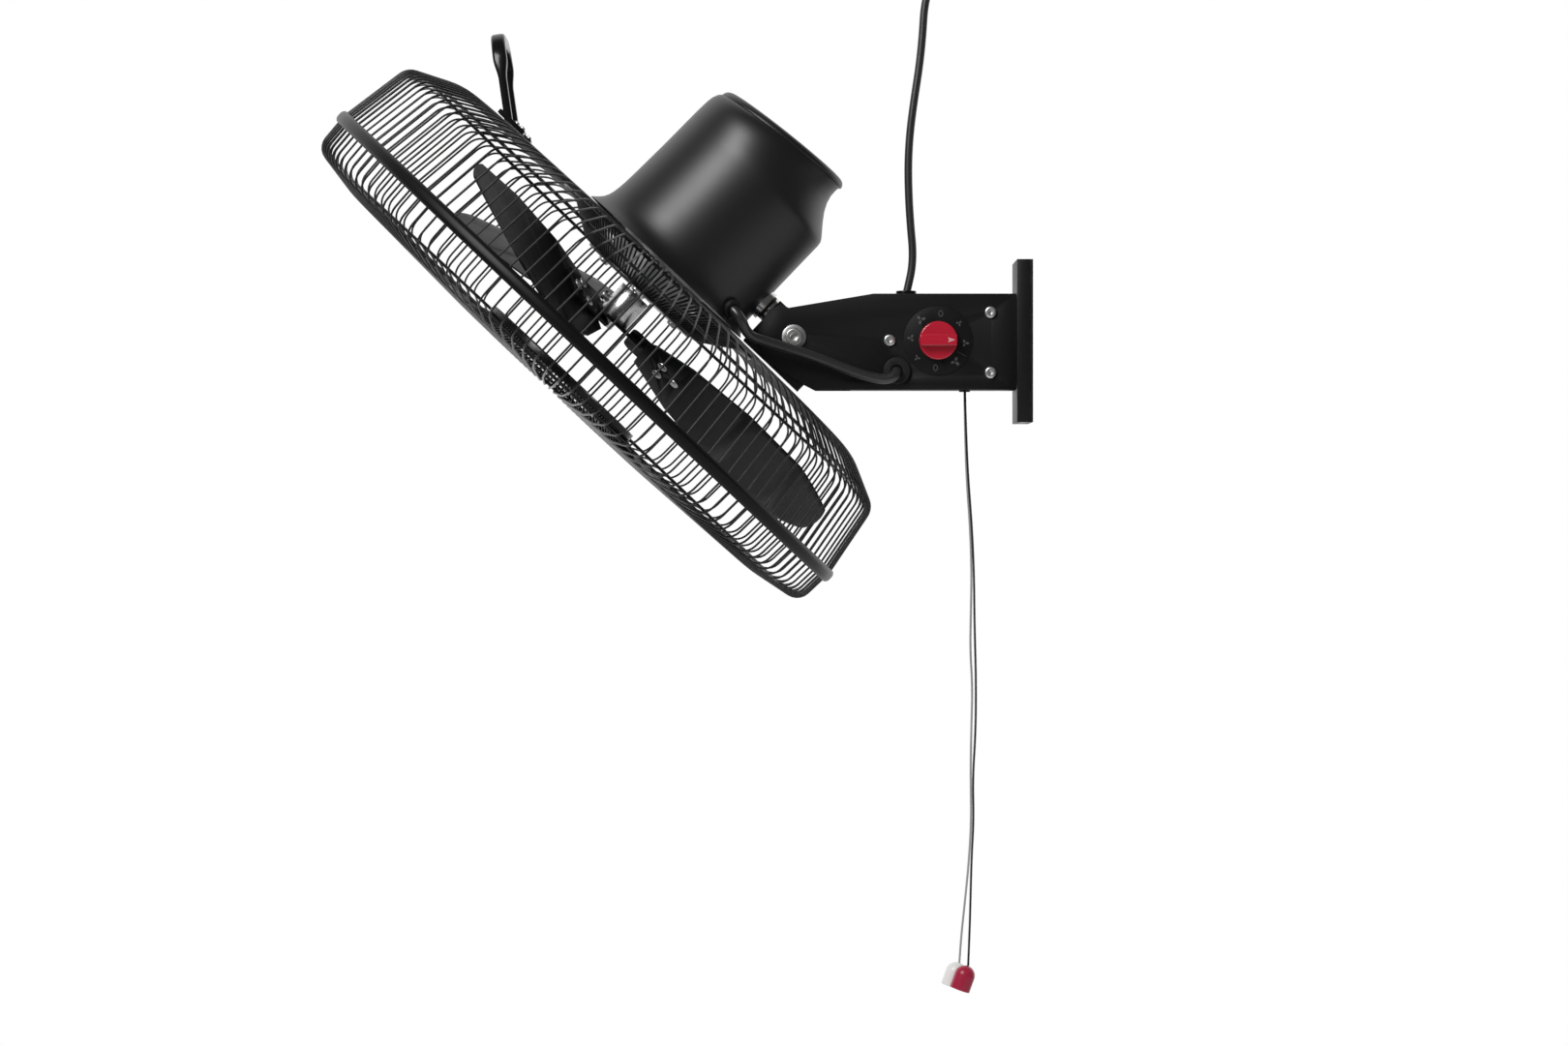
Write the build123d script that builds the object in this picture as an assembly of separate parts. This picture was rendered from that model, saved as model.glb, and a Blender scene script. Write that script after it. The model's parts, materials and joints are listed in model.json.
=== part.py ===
from build123d import *
import os
from math import cos, hypot, pi, radians, sin, tan

os.makedirs("parts", exist_ok=True)

# A wall-mounted fan with a 20 inch blade. Millimetres, +Z up. The origin is the centre of the wall
# bracket's back face: the wall is the plane Y = 0, and the fan hangs on the -Y side of it.

# ---- driving sizes: wall bracket and arm ----
PLATE_W, PLATE_H, PLATE_DEPTH = 80.0, 134.5, 13.0
PLATE_T = 2.0
BOLT_DX, BOLT_DZ, BOLT_HOLE_R = 44.0, 100.0, 3.25
ARM_W, ARM_H, ARM_T = 32.0, 80.0, 1.5
ARM_SLOPE_Y, SLOPE_END_Y, SLOPE_END_Z = -131.0, -201.4, 28.2
CHIN_Y, CHIN_Z, CHIN_END_Y = -191.6, -33.6, -179.2
ARM_WEB_END_Y = -172.0
COVER_END_Y, COVER_LIP = -150.0, 7.0
BASE_TAB_Y, BASE_TAB_IN = 48.0, 4.0
PIVOT_Y, PIVOT_Z = -197.1, 4.1
NOSE_R = 29.4
NOSE_ANGLES = (112, 130, 148, 168, 190, 212, 230)
GAP = 0.3
RUN = 0.05
X_SIDE = ARM_W / 2

# ---- driving sizes: controls in the arm ----
DIAL_Y, DIAL_Z, DIAL_R, DIAL_T = -77.5, 0.9, 28.75, 0.8
KNOB_R, KNOB_T, GRIP_W, GRIP_T = 16.0, 6.5, 9.5, 9.0
KNOB_EDGE, GRIP_IN, GRIP_END, KNOB_GAP = 1.5, 0.4, 0.5, 0.4
KNOB_BACK = X_SIDE + DIAL_T + KNOB_GAP
SPINDLE_R, SPINDLE_FIT, SPINDLE_IN = 3.0, 0.02, 4.0
SWITCH_NECK_R, SWITCH_HALF, SWITCH_IN = 5.0, 15.0, 2.0
SWING_SWITCH_FRONT, SWING_SWITCH_BACK = 7.0, 19.0
SWING_SWITCH_LOW, SWING_SWITCH_TOP = -16.0, 14.0
CAN_FRONT, CAN_BACK, CAN_LOW, CAN_TOP, CAN_EDGE = -148.0, -104.0, 44.0, 8.0, 2.0
LUG_FRONT, LUG_BACK, LUG_LOW, LUG_TOP, LUG_T = 10.2, 9.8, 7.2, 6.8, 4.0
SCREW_R, SCREW_HEAD_R, SCREW_HEAD_T = 2.0, 5.0, 3.0
ARM_SCREW_L = 5.5
BASE_SCREW_Y, BASE_SCREW_TOP, BASE_SCREW_LOW = -34.0, 15.5, 14.4
CAN_SCREW_Y, CAN_SCREW_Z = -117.8, 1.2
ARM_SCREWS = [
    (BASE_SCREW_Y, ARM_H / 2 - BASE_SCREW_TOP, 1),
    (BASE_SCREW_Y, -ARM_H / 2 + BASE_SCREW_LOW, 1),
    (BASE_SCREW_Y, ARM_H / 2 - BASE_SCREW_TOP, -1),
    (BASE_SCREW_Y, -ARM_H / 2 + BASE_SCREW_LOW, -1),
    (CAN_SCREW_Y, CAN_SCREW_Z, 1),
]
CORD_Y, CORD_X, PULL_CORD_D = -54.9, 3.2, 1.8
GUIDE_L, GUIDE_W, GUIDE_LIP, GUIDE_LIP_T, GUIDE_IN = 14.0, 6.0, 3.0, 1.2, 3.0
CORD_HOLE_R = 1.6
PULL_R, PULL_L, PULL_LEAN, PULL_EDGE = 8.5, 21.0, 20.0, 0.6

# ---- driving sizes: tilt joint and swivel neck ----
TILT_REST = 46.6
BOLT_R, BOLT_HEAD_R, BOLT_HEAD_T, BOLT_EDGE, BOLT_END = 4.0, 7.0, 5.0, 1.2, 9.0
KEY_R, KEY_FROM = 3.5, 2.0
WASHER_R, WASHER_T, NUT_R, NUT_T = 10.0, 1.6, 7.5, 6.5
YOKE_W, YOKE_T = 25.0, 3.0
YOKE_FRONT, YOKE_REAR = 30.8, 8.0
YOKE_TOP, YOKE_LOW, YOKE_STEP = 29.0, 33.0, 16.0
NECK_BACK, NECK_WALL = 3.0, 3.0
POST_R, POST_FOOT, POST_FOOT_T, POST_END = 8.0, 3.0, 3.0, 5.0
LEVER_U, LEVER_T, LEVER_R, LEVER_END_R = 53.3, 2.0, 14.0, 5.0
PIN_R = 2.5
PIVOT_U, PIVOT_AX = 120.4, 125.0

# ---- driving sizes: fan head (u down the fan's face, z back along its axis) ----
WIRE_D, RIM_D, RING_D, WIRE_COUNT = 1.8, 4.2, 3.0, 135
WIRE_PHASE = 0.5
BLADE_R, BLADE_T, BLADE_COUNT = 240.0, 1.4, 3
BLADE_ROOM, RIM_GAP = 36.0, 0.2
RIM_R = BLADE_R + BLADE_ROOM
CLAMP_IN, CLAMP_GROOVE, CLAMP_OUT, CLAMP_HALF = 1.2, 2.5, 4.6, 5.6
CLAMP_LIP, CLAMP_EDGE, CLAMP_EDGE_T = 0.9, 1.2, 1.4
CLAMP_R = RIM_R + CLAMP_OUT
CLAMP_GAP_AT, CLAMP_GAP_HALF = 180.0, 1.0
EAR_ROOT, EAR_OUT, EAR_T, EAR_SCREW_AT, EAR_HOLE_R = 1.0, 10.0, 2.5, 5.0, 1.6
CLAMP_SCREW_L, CLAMP_SCREW_R, CLAMP_SCREW_HEAD_R, CLAMP_SCREW_HEAD_T = 11.0, 1.55, 3.2, 2.2
SPIDER_T, BLADE_PITCH, BLADE_PHASE = 3.0, 24.0, 90.0
SPIDER_R, SPIDER_ARM_AT, SPIDER_ARM_L, SPIDER_ARM_W, SPIDER_EDGE = 27.0, 50.0, 62.0, 34.0, 6.0
SPIDER_ROOT_AT, SPIDER_ROOT_L, SPIDER_ROOT_W = 19.0, 28.0, 30.0
RIVET_R, RIVET_HEAD_R, RIVET_HEAD_T = 2.6, 4.6, 1.6
RIVETS = ((58, -9), (58, 9), (74, 0))
BLADE_LIFT = 0.05
# Blade sections: distance from the shaft, pitch, chord and offset across the blade.
BLADE_SECTIONS = [(36, 24, 50, 0), (80, 24, 96, 4), (BLADE_R - 100, 21, 138, 8),
                  (BLADE_R - 40, 18, 150, 10), (BLADE_R + 6, 15, 150, 10)]
# Corners of the blade's outline, along and across it, and the radius at each.
BLADE_OUTLINE = [(34, -20), (90, -60), (BLADE_R - 10, -78), (BLADE_R + 12, 0), (BLADE_R - 16, 86),
                 (110, 78), (34, 24)]
BLADE_CORNERS = [30, 46, 90, 46, 60, 14, 10]
HUB_R, HUB_FRONT, HUB_BACK = 14.5, 33.0, 60.5
HUB_SCREW_AT, HUB_SCREW_OUT, HUB_SCREW_HEAD_R, HUB_SCREW_HEAD_T = 9.5, 2.5, 4.2, 3.5
SHAFT_R, SHAFT_FIT, SHAFT_END, SHAFT_BACK = 5.0, 0.02, 9.0, 14.0
GUARD_PLATE_R, GUARD_PLATE_Z, GUARD_PLATE_T = 57.0, 64.0, 2.0
PLATE_BOLT_R, PLATE_BOLT_L = 39.0, 14.0
DISC_R, DISC_BACK, DISC_T = 79.5, -26.7, 6.5
DISC_WALL, DISC_FACE, DISC_EDGE = 2.0, 2.0, 1.8
# Corners of each guard's wire: radius and place along the axis.
REAR_WIRE = [(RIM_R, RIM_D + RIM_GAP + RUN), (RIM_R - 9.5, 61.9), (RIM_R - 13.9, 67.8),
             (RIM_R - 54, 87), (127, 90.2), (98, 89.5), (63, 66.95), (48, 66.95)]
FRONT_WIRE = [(RIM_R, -RIM_D - RIM_GAP - RUN), (RIM_R - 1.3, -26.2), (RIM_R - 7.3, -33.0),
              (RIM_R - 47, -39.8), (112, -44.4), (99, -43.6), (82, -34.2), (70, -34.2)]
# The run of each wire after which it is parted, and where its inner rings sit: run and share of it.
SIDE_RUNS = 2
REAR_RINGS = ((2, 0.31), (4, 0.75))
FRONT_RINGS = ((2, 0.44), (3, 0.96))

# ---- driving sizes: carrying handle ----
HANDLE_U, HANDLE_Z, HANDLE_HALF, HANDLE_LEAN = -171.0, 91.4, 46.0, 51.5
HANDLE_H, HANDLE_T, LEG_HALF, GRIP_DEEP = 76.0, 8.0, 5.0, 13.0
FOOT_Z, FOOT_T, FOOT_HALF, FOOT_FRONT, FOOT_BACK = 90.8, 4.0, 7.0, 12.0, 16.0
FOOT_SCREWS, FOOT_SCREW_R, FOOT_SCREW_HEAD_R, FOOT_SCREW_HEAD_T = (6, 12), 1.5, 2.4, 1.8

# ---- driving sizes: motor housing ----
SHELL_T = 2.4
# Housing sections: place along the axis, centre, half width, half height and lean.
FRONT_SECTIONS = [(96, 2.5, 82, 84, 0), (102, 4, 77.5, 79.5, 0), (110, 5, 75, 77.3, 0),
                  (122, 5.5, 73.5, 76.2, 0), (150, 6, 72, 75.6, 0), (199, 6.5, 69, 74.5, 0)]
REAR_SECTIONS = [(199, 6.5, 69, 74.5, 0), (208, 2.4, 66.5, 69.4, 1.5), (222, 1.2, 64, 66.6, 3.5),
                 (236, 0.8, 60, 63.2, 5)]
CAP_SECTIONS = [(236.3, 0.8, 59.8, 63.0, 5), (239.5, 0.8, 58.8, 62.0, 5), (242, 0.8, 55, 58.5, 5)]
SPIGOT_Z, SPIGOT_LEAN, SPIGOT_W, SPIGOT_H, SPIGOT_T, SPIGOT_L = 230.0, 4.5, 57.2, 60.0, 2.0, 8.0
GROMMET_X, GROMMET_U, HOUSING_GROMMET_Z, GROMMET_R = 46.6, 66.2, 106.0, 8.0
GROMMET_WAY, GROMMET_LIP, GROMMET_IN, GROMMET_OUT = (0.6, 0.8), 1.5, 6.0, 4.0

# ---- driving sizes: motor and swing drive ----
STATOR_R, STATOR_Z, STATOR_L, STATOR_WALL = 46.0, 124.0, 30.0, 4.0
STATOR_BORE_R, SLOT_COUNT, SLOT_R, SLOT_HALF = 26.5, 16, 38.0, 2.6
WINDING_R, WINDING_BORE_R, WINDING_L = 39.0, 28.0, 12.0
ROTOR_R, ROTOR_RING_R, ROTOR_RING_L, ROTOR_IN = 26.0, 22.0, 3.0, 1.0
BELL_Z, BELL_NOSE_R, BELL_FLANGE_T, BELL_SEAT = 96.0, 44.0, 3.0, 2.0
BELL_HOLLOW_R, BELL_FACE = 36.0, 4.0
REAR_BELL_L, REAR_BELL_IN = 16.0, 13.0
BEARING_R, BEARING_T, BEARING_WALL, BEARING_IN = 13.0, 8.0, 3.0, 3.0
SWING_Z, CRANK_R, CRANK_T = 200.0, 9.0, 4.0
DRIVE_R, DRIVE_U, DRIVE_L, DRIVE_SHAFT_R, DRIVE_SHAFT_L = 24.0, 25.0, 16.0, 3.0, 7.0
LINK_U, LINK_T, SOCKET_U = 51.0, 2.0, 56.0
SOCKET_END, BUSH_END = 86.0, 88.1

# ---- driving sizes: cables ----
LEAD_D, MOTOR_CABLE_D = 6.9, 8.8
COIL_R, COIL_HALF_W, COIL_HALF_T = 40.0, 10.6, 7.1
COIL_Z, COIL_Y = 350.0, -9.0
TIE_GAP, TIE_T, TIE_W = 0.1, 1.1, 8.0
GLAND_R, GLAND_T, GLAND_NECK_R, GLAND_IN, GLAND_Y = 8.5, 3.0, 6.0, 5.0, -103.6
COLLAR_R, COLLAR_T, GROMMET_NECK_R, COLLAR_IN = 11.3, 3.5, 7.5, 5.0
GROMMET_Y, GROMMET_UP = -111.8, 15.8
GROMMET_Z = -ARM_H / 2 + GROMMET_UP
PLUG_NECK_R, PLUG_WAIST_R, PLUG_NECK_L = 5.5, 7.5, 14.0
PLUG_W, PLUG_T, PLUG_L, PLUG_FACE_W, PLUG_FACE_T, PLUG_BACK_L = 34.0, 18.0, 38.0, 30.0, 16.0, 26.0
PIN_X, PLUG_PIN_R, PLUG_PIN_L = 9.5, 2.2, 19.0

FAR = 300.0
MIN = (Align.CENTER, Align.CENTER, Align.MIN)

# The head's own frame: x to the side, y (u) down the fan's face, z back along the fan's axis.
AX = (cos(radians(TILT_REST)), sin(radians(TILT_REST)))
HEAD_Y = PIVOT_Y - PIVOT_U * AX[1] - PIVOT_AX * AX[0]
HEAD_Z = PIVOT_Z + PIVOT_U * AX[0] - PIVOT_AX * AX[1]
HEAD = Plane(origin=(0, HEAD_Y, HEAD_Z), x_dir=(1, 0, 0), z_dir=(0, AX[0], AX[1]))
POST_AX = PIVOT_AX + NECK_BACK

nodes = {}


def keep(name, *shapes):
    """Store the solids of one named piece."""
    solids = [s for shape in shapes for s in shape.solids()]
    nodes[name] = solids[0] if len(solids) == 1 else Compound(solids)


def head(name, *shapes):
    """Store a piece that was drawn in the head's frame."""
    keep(name, *[HEAD * shape for shape in shapes])


def rod(radius, start, end):
    """A round bar between two points."""
    way = Vector(*end) - Vector(*start)
    return Plane(origin=start, z_dir=way) * Cylinder(radius, way.length, align=MIN)


def pipe(outer, inner, start, end):
    """A round tube between two points."""
    return rod(outer, start, end) - rod(inner, start, end)


def block(x0, x1, y0, y1, z0, z1):
    """A box from its limits."""
    return Pos((x0 + x1) / 2, (y0 + y1) / 2, (z0 + z1) / 2) * Box(x1 - x0, y1 - y0, z1 - z0)


def disc(radius, z0, z1, x=0, y=0):
    """A disc across the Z axis."""
    return rod(radius, (x, y, z0), (x, y, z1))


def side_rod(radius, x0, x1, y, z):
    """A round bar across the arm."""
    return rod(radius, (x0, y, z), (x1, y, z))


def revolved(points):
    """A ring about the Z axis from its half section, given as radius and height."""
    face = make_face(Polyline(*[(r, 0, z) for r, z in points], close=True))
    return revolve(face, Axis.Z, 360)


def side_plate(points, x0, x1):
    """A flat plate across X from an outline in Y and Z."""
    face = make_face(Polyline(*[(x0, y, z) for y, z in points], close=True))
    return extrude(face, amount=x1 - x0, dir=(1, 0, 0))


def pan_screw(start, way, length, radius=SCREW_R, head_r=SCREW_HEAD_R, head_t=SCREW_HEAD_T):
    """A pan head screw whose head sits on the point start, with a cross recess."""
    plane = Plane(origin=start, z_dir=way)
    shape = Cylinder(head_r, head_t, align=MIN)
    shape = fillet(shape.edges().sort_by(Axis.Z)[-1], head_t * 0.6)
    for size in ((head_r * 1.2, head_t / 4), (head_t / 4, head_r * 1.2)):
        shape -= Pos(0, 0, head_t) * Box(size[0], size[1], head_t)
    shape += Pos(0, 0, -length) * Cylinder(radius, length, align=MIN)
    return plane * shape


def countersunk(start, way, length, radius=SCREW_R):
    """A flush countersunk screw with its face at the point start."""
    plane = Plane(origin=start, z_dir=way)
    shape = Pos(0, 0, -radius) * Cone(radius, radius * 2, radius, align=MIN)
    return plane * (shape + Pos(0, 0, -length) * Cylinder(radius, length, align=MIN))


def bend_radii(points):
    """The radius at each corner of a cord's route: as large as its two runs allow."""
    radii = []
    for a, b, c in zip(points, points[1:], points[2:]):
        first = Vector(*b) - Vector(*a)
        second = Vector(*c) - Vector(*b)
        turn = radians(first.get_angle(second))
        radii.append(0.45 * min(first.length, second.length) / tan(turn / 2))
    return radii


def swept(points, radii, diameter):
    """A round bar along straight runs joined by arcs."""
    path = FilletPolyline(*points, radius=radii)
    way = Vector(*points[1]) - Vector(*points[0])
    start = Plane(origin=points[0], z_dir=way)
    solid = sweep(start * Circle(diameter / 2), path=path)
    return solid, path.length


def cord(name, points, diameter):
    """A cord's tube. Its radii are printed."""
    radii = bend_radii(points)
    solid, length = swept(points, radii, diameter)
    whole = pi * diameter**2 / 4 * length
    print(name, "length", round(length), "least radius", round(min(radii), 1),
          "volume ratio", round(solid.volume / whole, 4))
    keep(name, solid)


# ---- wall bracket, arm base and arm ----
def wall_parts():
    """The bracket screwed to the wall and the base of the arm that hooks over it."""
    half_w, half_h = PLATE_W / 2, PLATE_H / 2
    lip = half_h - PLATE_T - GAP
    in_w = half_w - PLATE_T - GAP
    bracket = block(-half_w, half_w, -PLATE_T, 0, -half_h, half_h)
    front = PLATE_DEPTH - PLATE_T - GAP
    for side in (-1, 1):
        z0, z1 = sorted((side * lip, side * (lip - PLATE_T)))
        bracket += block(-in_w, in_w, -front, -PLATE_T, z0, z1)
    for x in (-1, 1):
        for z in (-1, 1):
            bracket -= rod(BOLT_HOLE_R, (x * BOLT_DX / 2, 1, z * BOLT_DZ / 2),
                           (x * BOLT_DX / 2, -PLATE_T - 1, z * BOLT_DZ / 2))
    base = block(-half_w, half_w, -PLATE_DEPTH, -PLATE_T - GAP, -half_h, half_h)
    base -= block(-half_w + PLATE_T, half_w - PLATE_T, -PLATE_DEPTH + PLATE_T, 0,
                  -half_h + PLATE_T, half_h - PLATE_T)
    tab = X_SIDE - ARM_T
    for side in (-1, 1):
        x0, x1 = sorted((side * tab, side * (tab - PLATE_T)))
        base += block(x0, x1, -BASE_TAB_Y, -PLATE_DEPTH, -ARM_H / 2 + BASE_TAB_IN,
                      ARM_H / 2 - BASE_TAB_IN)
    screws = []
    for x in (-1, 1):
        for z in (-1, 1):
            place = (x * BOLT_DX / 2, -PLATE_DEPTH / 2, z * half_h)
            shape = countersunk(place, (0, 0, z), PLATE_T * 2 + GAP + 1)
            hole = countersunk(place, (0, 0, z), PLATE_T * 2 + GAP + 2, SCREW_R + RUN)
            bracket -= hole
            base -= hole
            screws.append(shape)
    for y, z, side in ARM_SCREWS[:4]:
        base -= side_rod(SCREW_R + RUN, 0, side * X_SIDE, y, z)
    keep("wall_bracket", bracket)
    keep("arm_base", base)
    keep("bracket_screws", *screws)


def arm_parts():
    """The folded steel arm with its cheeks, top web, bottom cover and screws."""
    half_h = ARM_H / 2
    nose = [(PIVOT_Y + NOSE_R * cos(radians(a)), PIVOT_Z + NOSE_R * sin(radians(a)))
            for a in NOSE_ANGLES]
    outline = [(-PLATE_DEPTH, half_h), (ARM_SLOPE_Y, half_h), (SLOPE_END_Y, SLOPE_END_Z), *nose,
               (CHIN_Y, CHIN_Z), (CHIN_END_Y, -half_h), (-PLATE_DEPTH, -half_h)]
    arm = side_plate(outline, -X_SIDE, X_SIDE)
    inner = X_SIDE - ARM_T
    arm -= block(-inner, inner, -FAR, 0, -half_h - 1, half_h - ARM_T)
    arm -= block(-inner, inner, -FAR, ARM_WEB_END_Y, 0, half_h + 1)
    slope = [(ARM_SLOPE_Y, half_h - ARM_T), (SLOPE_END_Y, SLOPE_END_Z - ARM_T),
             (SLOPE_END_Y, 0), (ARM_SLOPE_Y, 0)]
    arm -= side_plate(slope, -inner, inner)
    arm += side_plate([(ARM_SLOPE_Y, half_h), (ARM_WEB_END_Y, web_top(ARM_WEB_END_Y)),
                       (ARM_WEB_END_Y, web_top(ARM_WEB_END_Y) - ARM_T),
                       (ARM_SLOPE_Y, half_h - ARM_T)], -inner, inner)
    arm -= side_rod(BOLT_R + RUN, -X_SIDE - 1, X_SIDE + 1, PIVOT_Y, PIVOT_Z)
    arm -= side_rod(SWITCH_NECK_R + RUN, 0, X_SIDE + 1, DIAL_Y, DIAL_Z)
    arm -= side_rod(GROMMET_NECK_R, 0, X_SIDE + 1, GROMMET_Y, GROMMET_Z)
    arm -= disc(GLAND_NECK_R, half_h - GLAND_IN, half_h + 1, 0, GLAND_Y)
    for y, z, side in ARM_SCREWS:
        arm -= side_rod(SCREW_R + RUN, 0, side * (X_SIDE + 1), y, z)
    keep("arm_channel", arm)
    low = -half_h
    cover = block(-inner + GAP, inner - GAP, COVER_END_Y, -PLATE_DEPTH - GAP, low, low + ARM_T)
    for side in (-1, 1):
        x0, x1 = sorted((side * (inner - GAP), side * (inner - GAP - ARM_T)))
        cover += block(x0, x1, COVER_END_Y, -BASE_TAB_Y - 2, low, low + COVER_LIP)
    cover -= Pos(0, CORD_Y, low) * extrude(SlotOverall(GUIDE_L, GUIDE_W), ARM_T * 2, both=True)
    keep("arm_cover", cover)
    flange = SlotOverall(GUIDE_L + GUIDE_LIP, GUIDE_W + GUIDE_LIP)
    guide = Pos(0, CORD_Y, low - GUIDE_LIP_T) * extrude(flange, GUIDE_LIP_T)
    guide += Pos(0, CORD_Y, low) * extrude(SlotOverall(GUIDE_L, GUIDE_W), ARM_T + GUIDE_IN)
    for side in (-1, 1):
        guide -= disc(CORD_HOLE_R, low - 5, low + 10, side * CORD_X, CORD_Y)
    keep("cord_guide", guide)
    keep("arm_screws", *[pan_screw((side * X_SIDE, y, z), (side, 0, 0), ARM_T + ARM_SCREW_L)
                         for y, z, side in ARM_SCREWS])


def web_top(y):
    """The height of the arm's sloping top edge."""
    share = (y - ARM_SLOPE_Y) / (SLOPE_END_Y - ARM_SLOPE_Y)
    return ARM_H / 2 + (SLOPE_END_Z - ARM_H / 2) * share


# ---- controls and electrics inside the arm ----
def arm_contents():
    """The dial, the two pull switches and the capacitor."""
    inner = X_SIDE - ARM_T
    dial = side_rod(DIAL_R, X_SIDE, X_SIDE + DIAL_T, DIAL_Y, DIAL_Z)
    dial -= side_rod(SWITCH_NECK_R + RUN, 0, X_SIDE + 2, DIAL_Y, DIAL_Z)
    keep("dial_plate", dial)
    half = SWITCH_HALF
    body = block(-inner + SWITCH_IN, inner, DIAL_Y - half, DIAL_Y + half, DIAL_Z - half,
                 DIAL_Z + half)
    body += side_rod(SWITCH_NECK_R, inner, X_SIDE + DIAL_T, DIAL_Y, DIAL_Z)
    nose = block(0, CORD_X + 4, DIAL_Y + half, CORD_Y + 4.5, DIAL_Z - half, DIAL_Z + 5)
    nose -= disc(CORD_HOLE_R, DIAL_Z - 20, DIAL_Z + 1, CORD_X, CORD_Y)
    body += nose
    body -= side_rod(SPINDLE_R + RUN, 0, X_SIDE + 5, DIAL_Y, DIAL_Z)
    keep("speed_switch", body)
    spindle = side_rod(SPINDLE_R, RUN, KNOB_BACK + KNOB_T + SPINDLE_IN, DIAL_Y, DIAL_Z)
    flat = block(KNOB_BACK + 1, KNOB_BACK + 20, DIAL_Y - 5, DIAL_Y + 5,
                 DIAL_Z + SPINDLE_R * 0.6, DIAL_Z + 5)
    keep("knob_spindle", spindle - flat)
    swing = block(-inner + SWITCH_IN, -GAP, CORD_Y - SWING_SWITCH_FRONT, CORD_Y + SWING_SWITCH_BACK,
                  SWING_SWITCH_LOW, SWING_SWITCH_TOP)
    swing -= disc(CORD_HOLE_R, -20, 2, -CORD_X, CORD_Y)
    keep("swing_switch", swing)
    top = ARM_H / 2
    can = block(-inner + 1, inner - LUG_T, CAN_FRONT, CAN_BACK, top - CAN_LOW, top - CAN_TOP)
    can = fillet(can.edges(), CAN_EDGE)
    can += block(inner - LUG_T, inner, CAN_SCREW_Y - LUG_FRONT, CAN_SCREW_Y + LUG_BACK,
                 CAN_SCREW_Z - LUG_LOW, CAN_SCREW_Z + LUG_TOP)
    can -= side_rod(SCREW_R + RUN, 0, X_SIDE, CAN_SCREW_Y, CAN_SCREW_Z)
    keep("capacitor", can)


def knob():
    """The round speed knob with its raised grip bar and pointer."""
    disc_part = side_rod(KNOB_R, KNOB_BACK, KNOB_BACK + KNOB_T, DIAL_Y, DIAL_Z)
    disc_part = fillet(disc_part.edges().sort_by(Axis.X)[-1], KNOB_EDGE)
    reach = KNOB_R - GRIP_END
    bar = block(KNOB_BACK + 1, KNOB_BACK + KNOB_T + GRIP_T, DIAL_Y - reach, DIAL_Y + reach,
                DIAL_Z - GRIP_W / 2, DIAL_Z + GRIP_W / 2)
    bar = fillet(bar.edges().sort_by(Axis.X)[-4:], KNOB_EDGE)
    bar &= side_rod(KNOB_R - GRIP_IN, KNOB_BACK, KNOB_BACK + 30, DIAL_Y, DIAL_Z)
    shape = disc_part + bar
    end = KNOB_BACK + KNOB_T + SPINDLE_IN
    bore = side_rod(SPINDLE_R + SPINDLE_FIT, KNOB_BACK - 1, end, DIAL_Y, DIAL_Z)
    bore -= block(KNOB_BACK + 0.9, KNOB_BACK + 20, DIAL_Y - 5, DIAL_Y + 5,
                  DIAL_Z + SPINDLE_R * 0.6 + SPINDLE_FIT, DIAL_Z + 5)
    keep("speed_knob", shape - bore)


# ---- pull cords: Y and Z from the photograph, X keeps the two apart ----
SPEED_CORD = [
    (CORD_X, CORD_Y, -1.2), (CORD_X, -54.8, -36.0), (3.2, -53.9, -70.0), (3.6, -52.3, -110.0),
    (4.0, -49.0, -152.5), (4.6, -47.2, -193.0), (5.4, -46.8, -236.0), (6.0, -45.6, -280.0),
    (6.6, -45.9, -324.0), (7.2, -48.4, -363.0), (7.8, -47.6, -398.0), (8.2, -49.4, -428.0),
    (8.6, -50.3, -464.0), (8.9, -51.2, -494.0), (9.0, -52.3, -519.0),
]
SWING_CORD = [
    (-CORD_X, CORD_Y, -1.2), (-CORD_X, -54.9, -36.0), (-3.2, -54.4, -72.0), (-3.6, -53.2, -112.0),
    (-4.0, -50.2, -153.0), (-4.6, -48.8, -190.0), (-5.2, -49.4, -226.0), (-5.8, -50.0, -256.0),
    (-6.2, -48.0, -288.0), (-6.6, -49.0, -322.0), (-7.2, -49.6, -360.0), (-7.8, -48.9, -400.0),
    (-8.2, -51.2, -436.0), (-8.6, -54.6, -470.0), (-8.9, -57.6, -498.0), (-9.0, -58.9, -518.0),
]


def pull(name, top, radius):
    """A bullet-shaped pull on the end of a cord, leaning towards the fan."""
    shape = Pos(0, 0, -PULL_L) * Cylinder(radius, PULL_L - radius, align=MIN)
    shape += Pos(0, 0, -radius) * Sphere(radius)
    shape = fillet(shape.edges().sort_by(Axis.Z)[0], PULL_EDGE)
    keep(name, Pos(*top) * (Rot(-PULL_LEAN, 0, 0) * shape))


def pull_cords():
    """Both pull cords and what hangs on them."""
    cord("speed_cord", SPEED_CORD, PULL_CORD_D)
    cord("swing_cord", SWING_CORD, PULL_CORD_D)
    pull("speed_pull", SPEED_CORD[-1], PULL_R)
    pull("swing_pull", SWING_CORD[-1], PULL_R)


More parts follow.
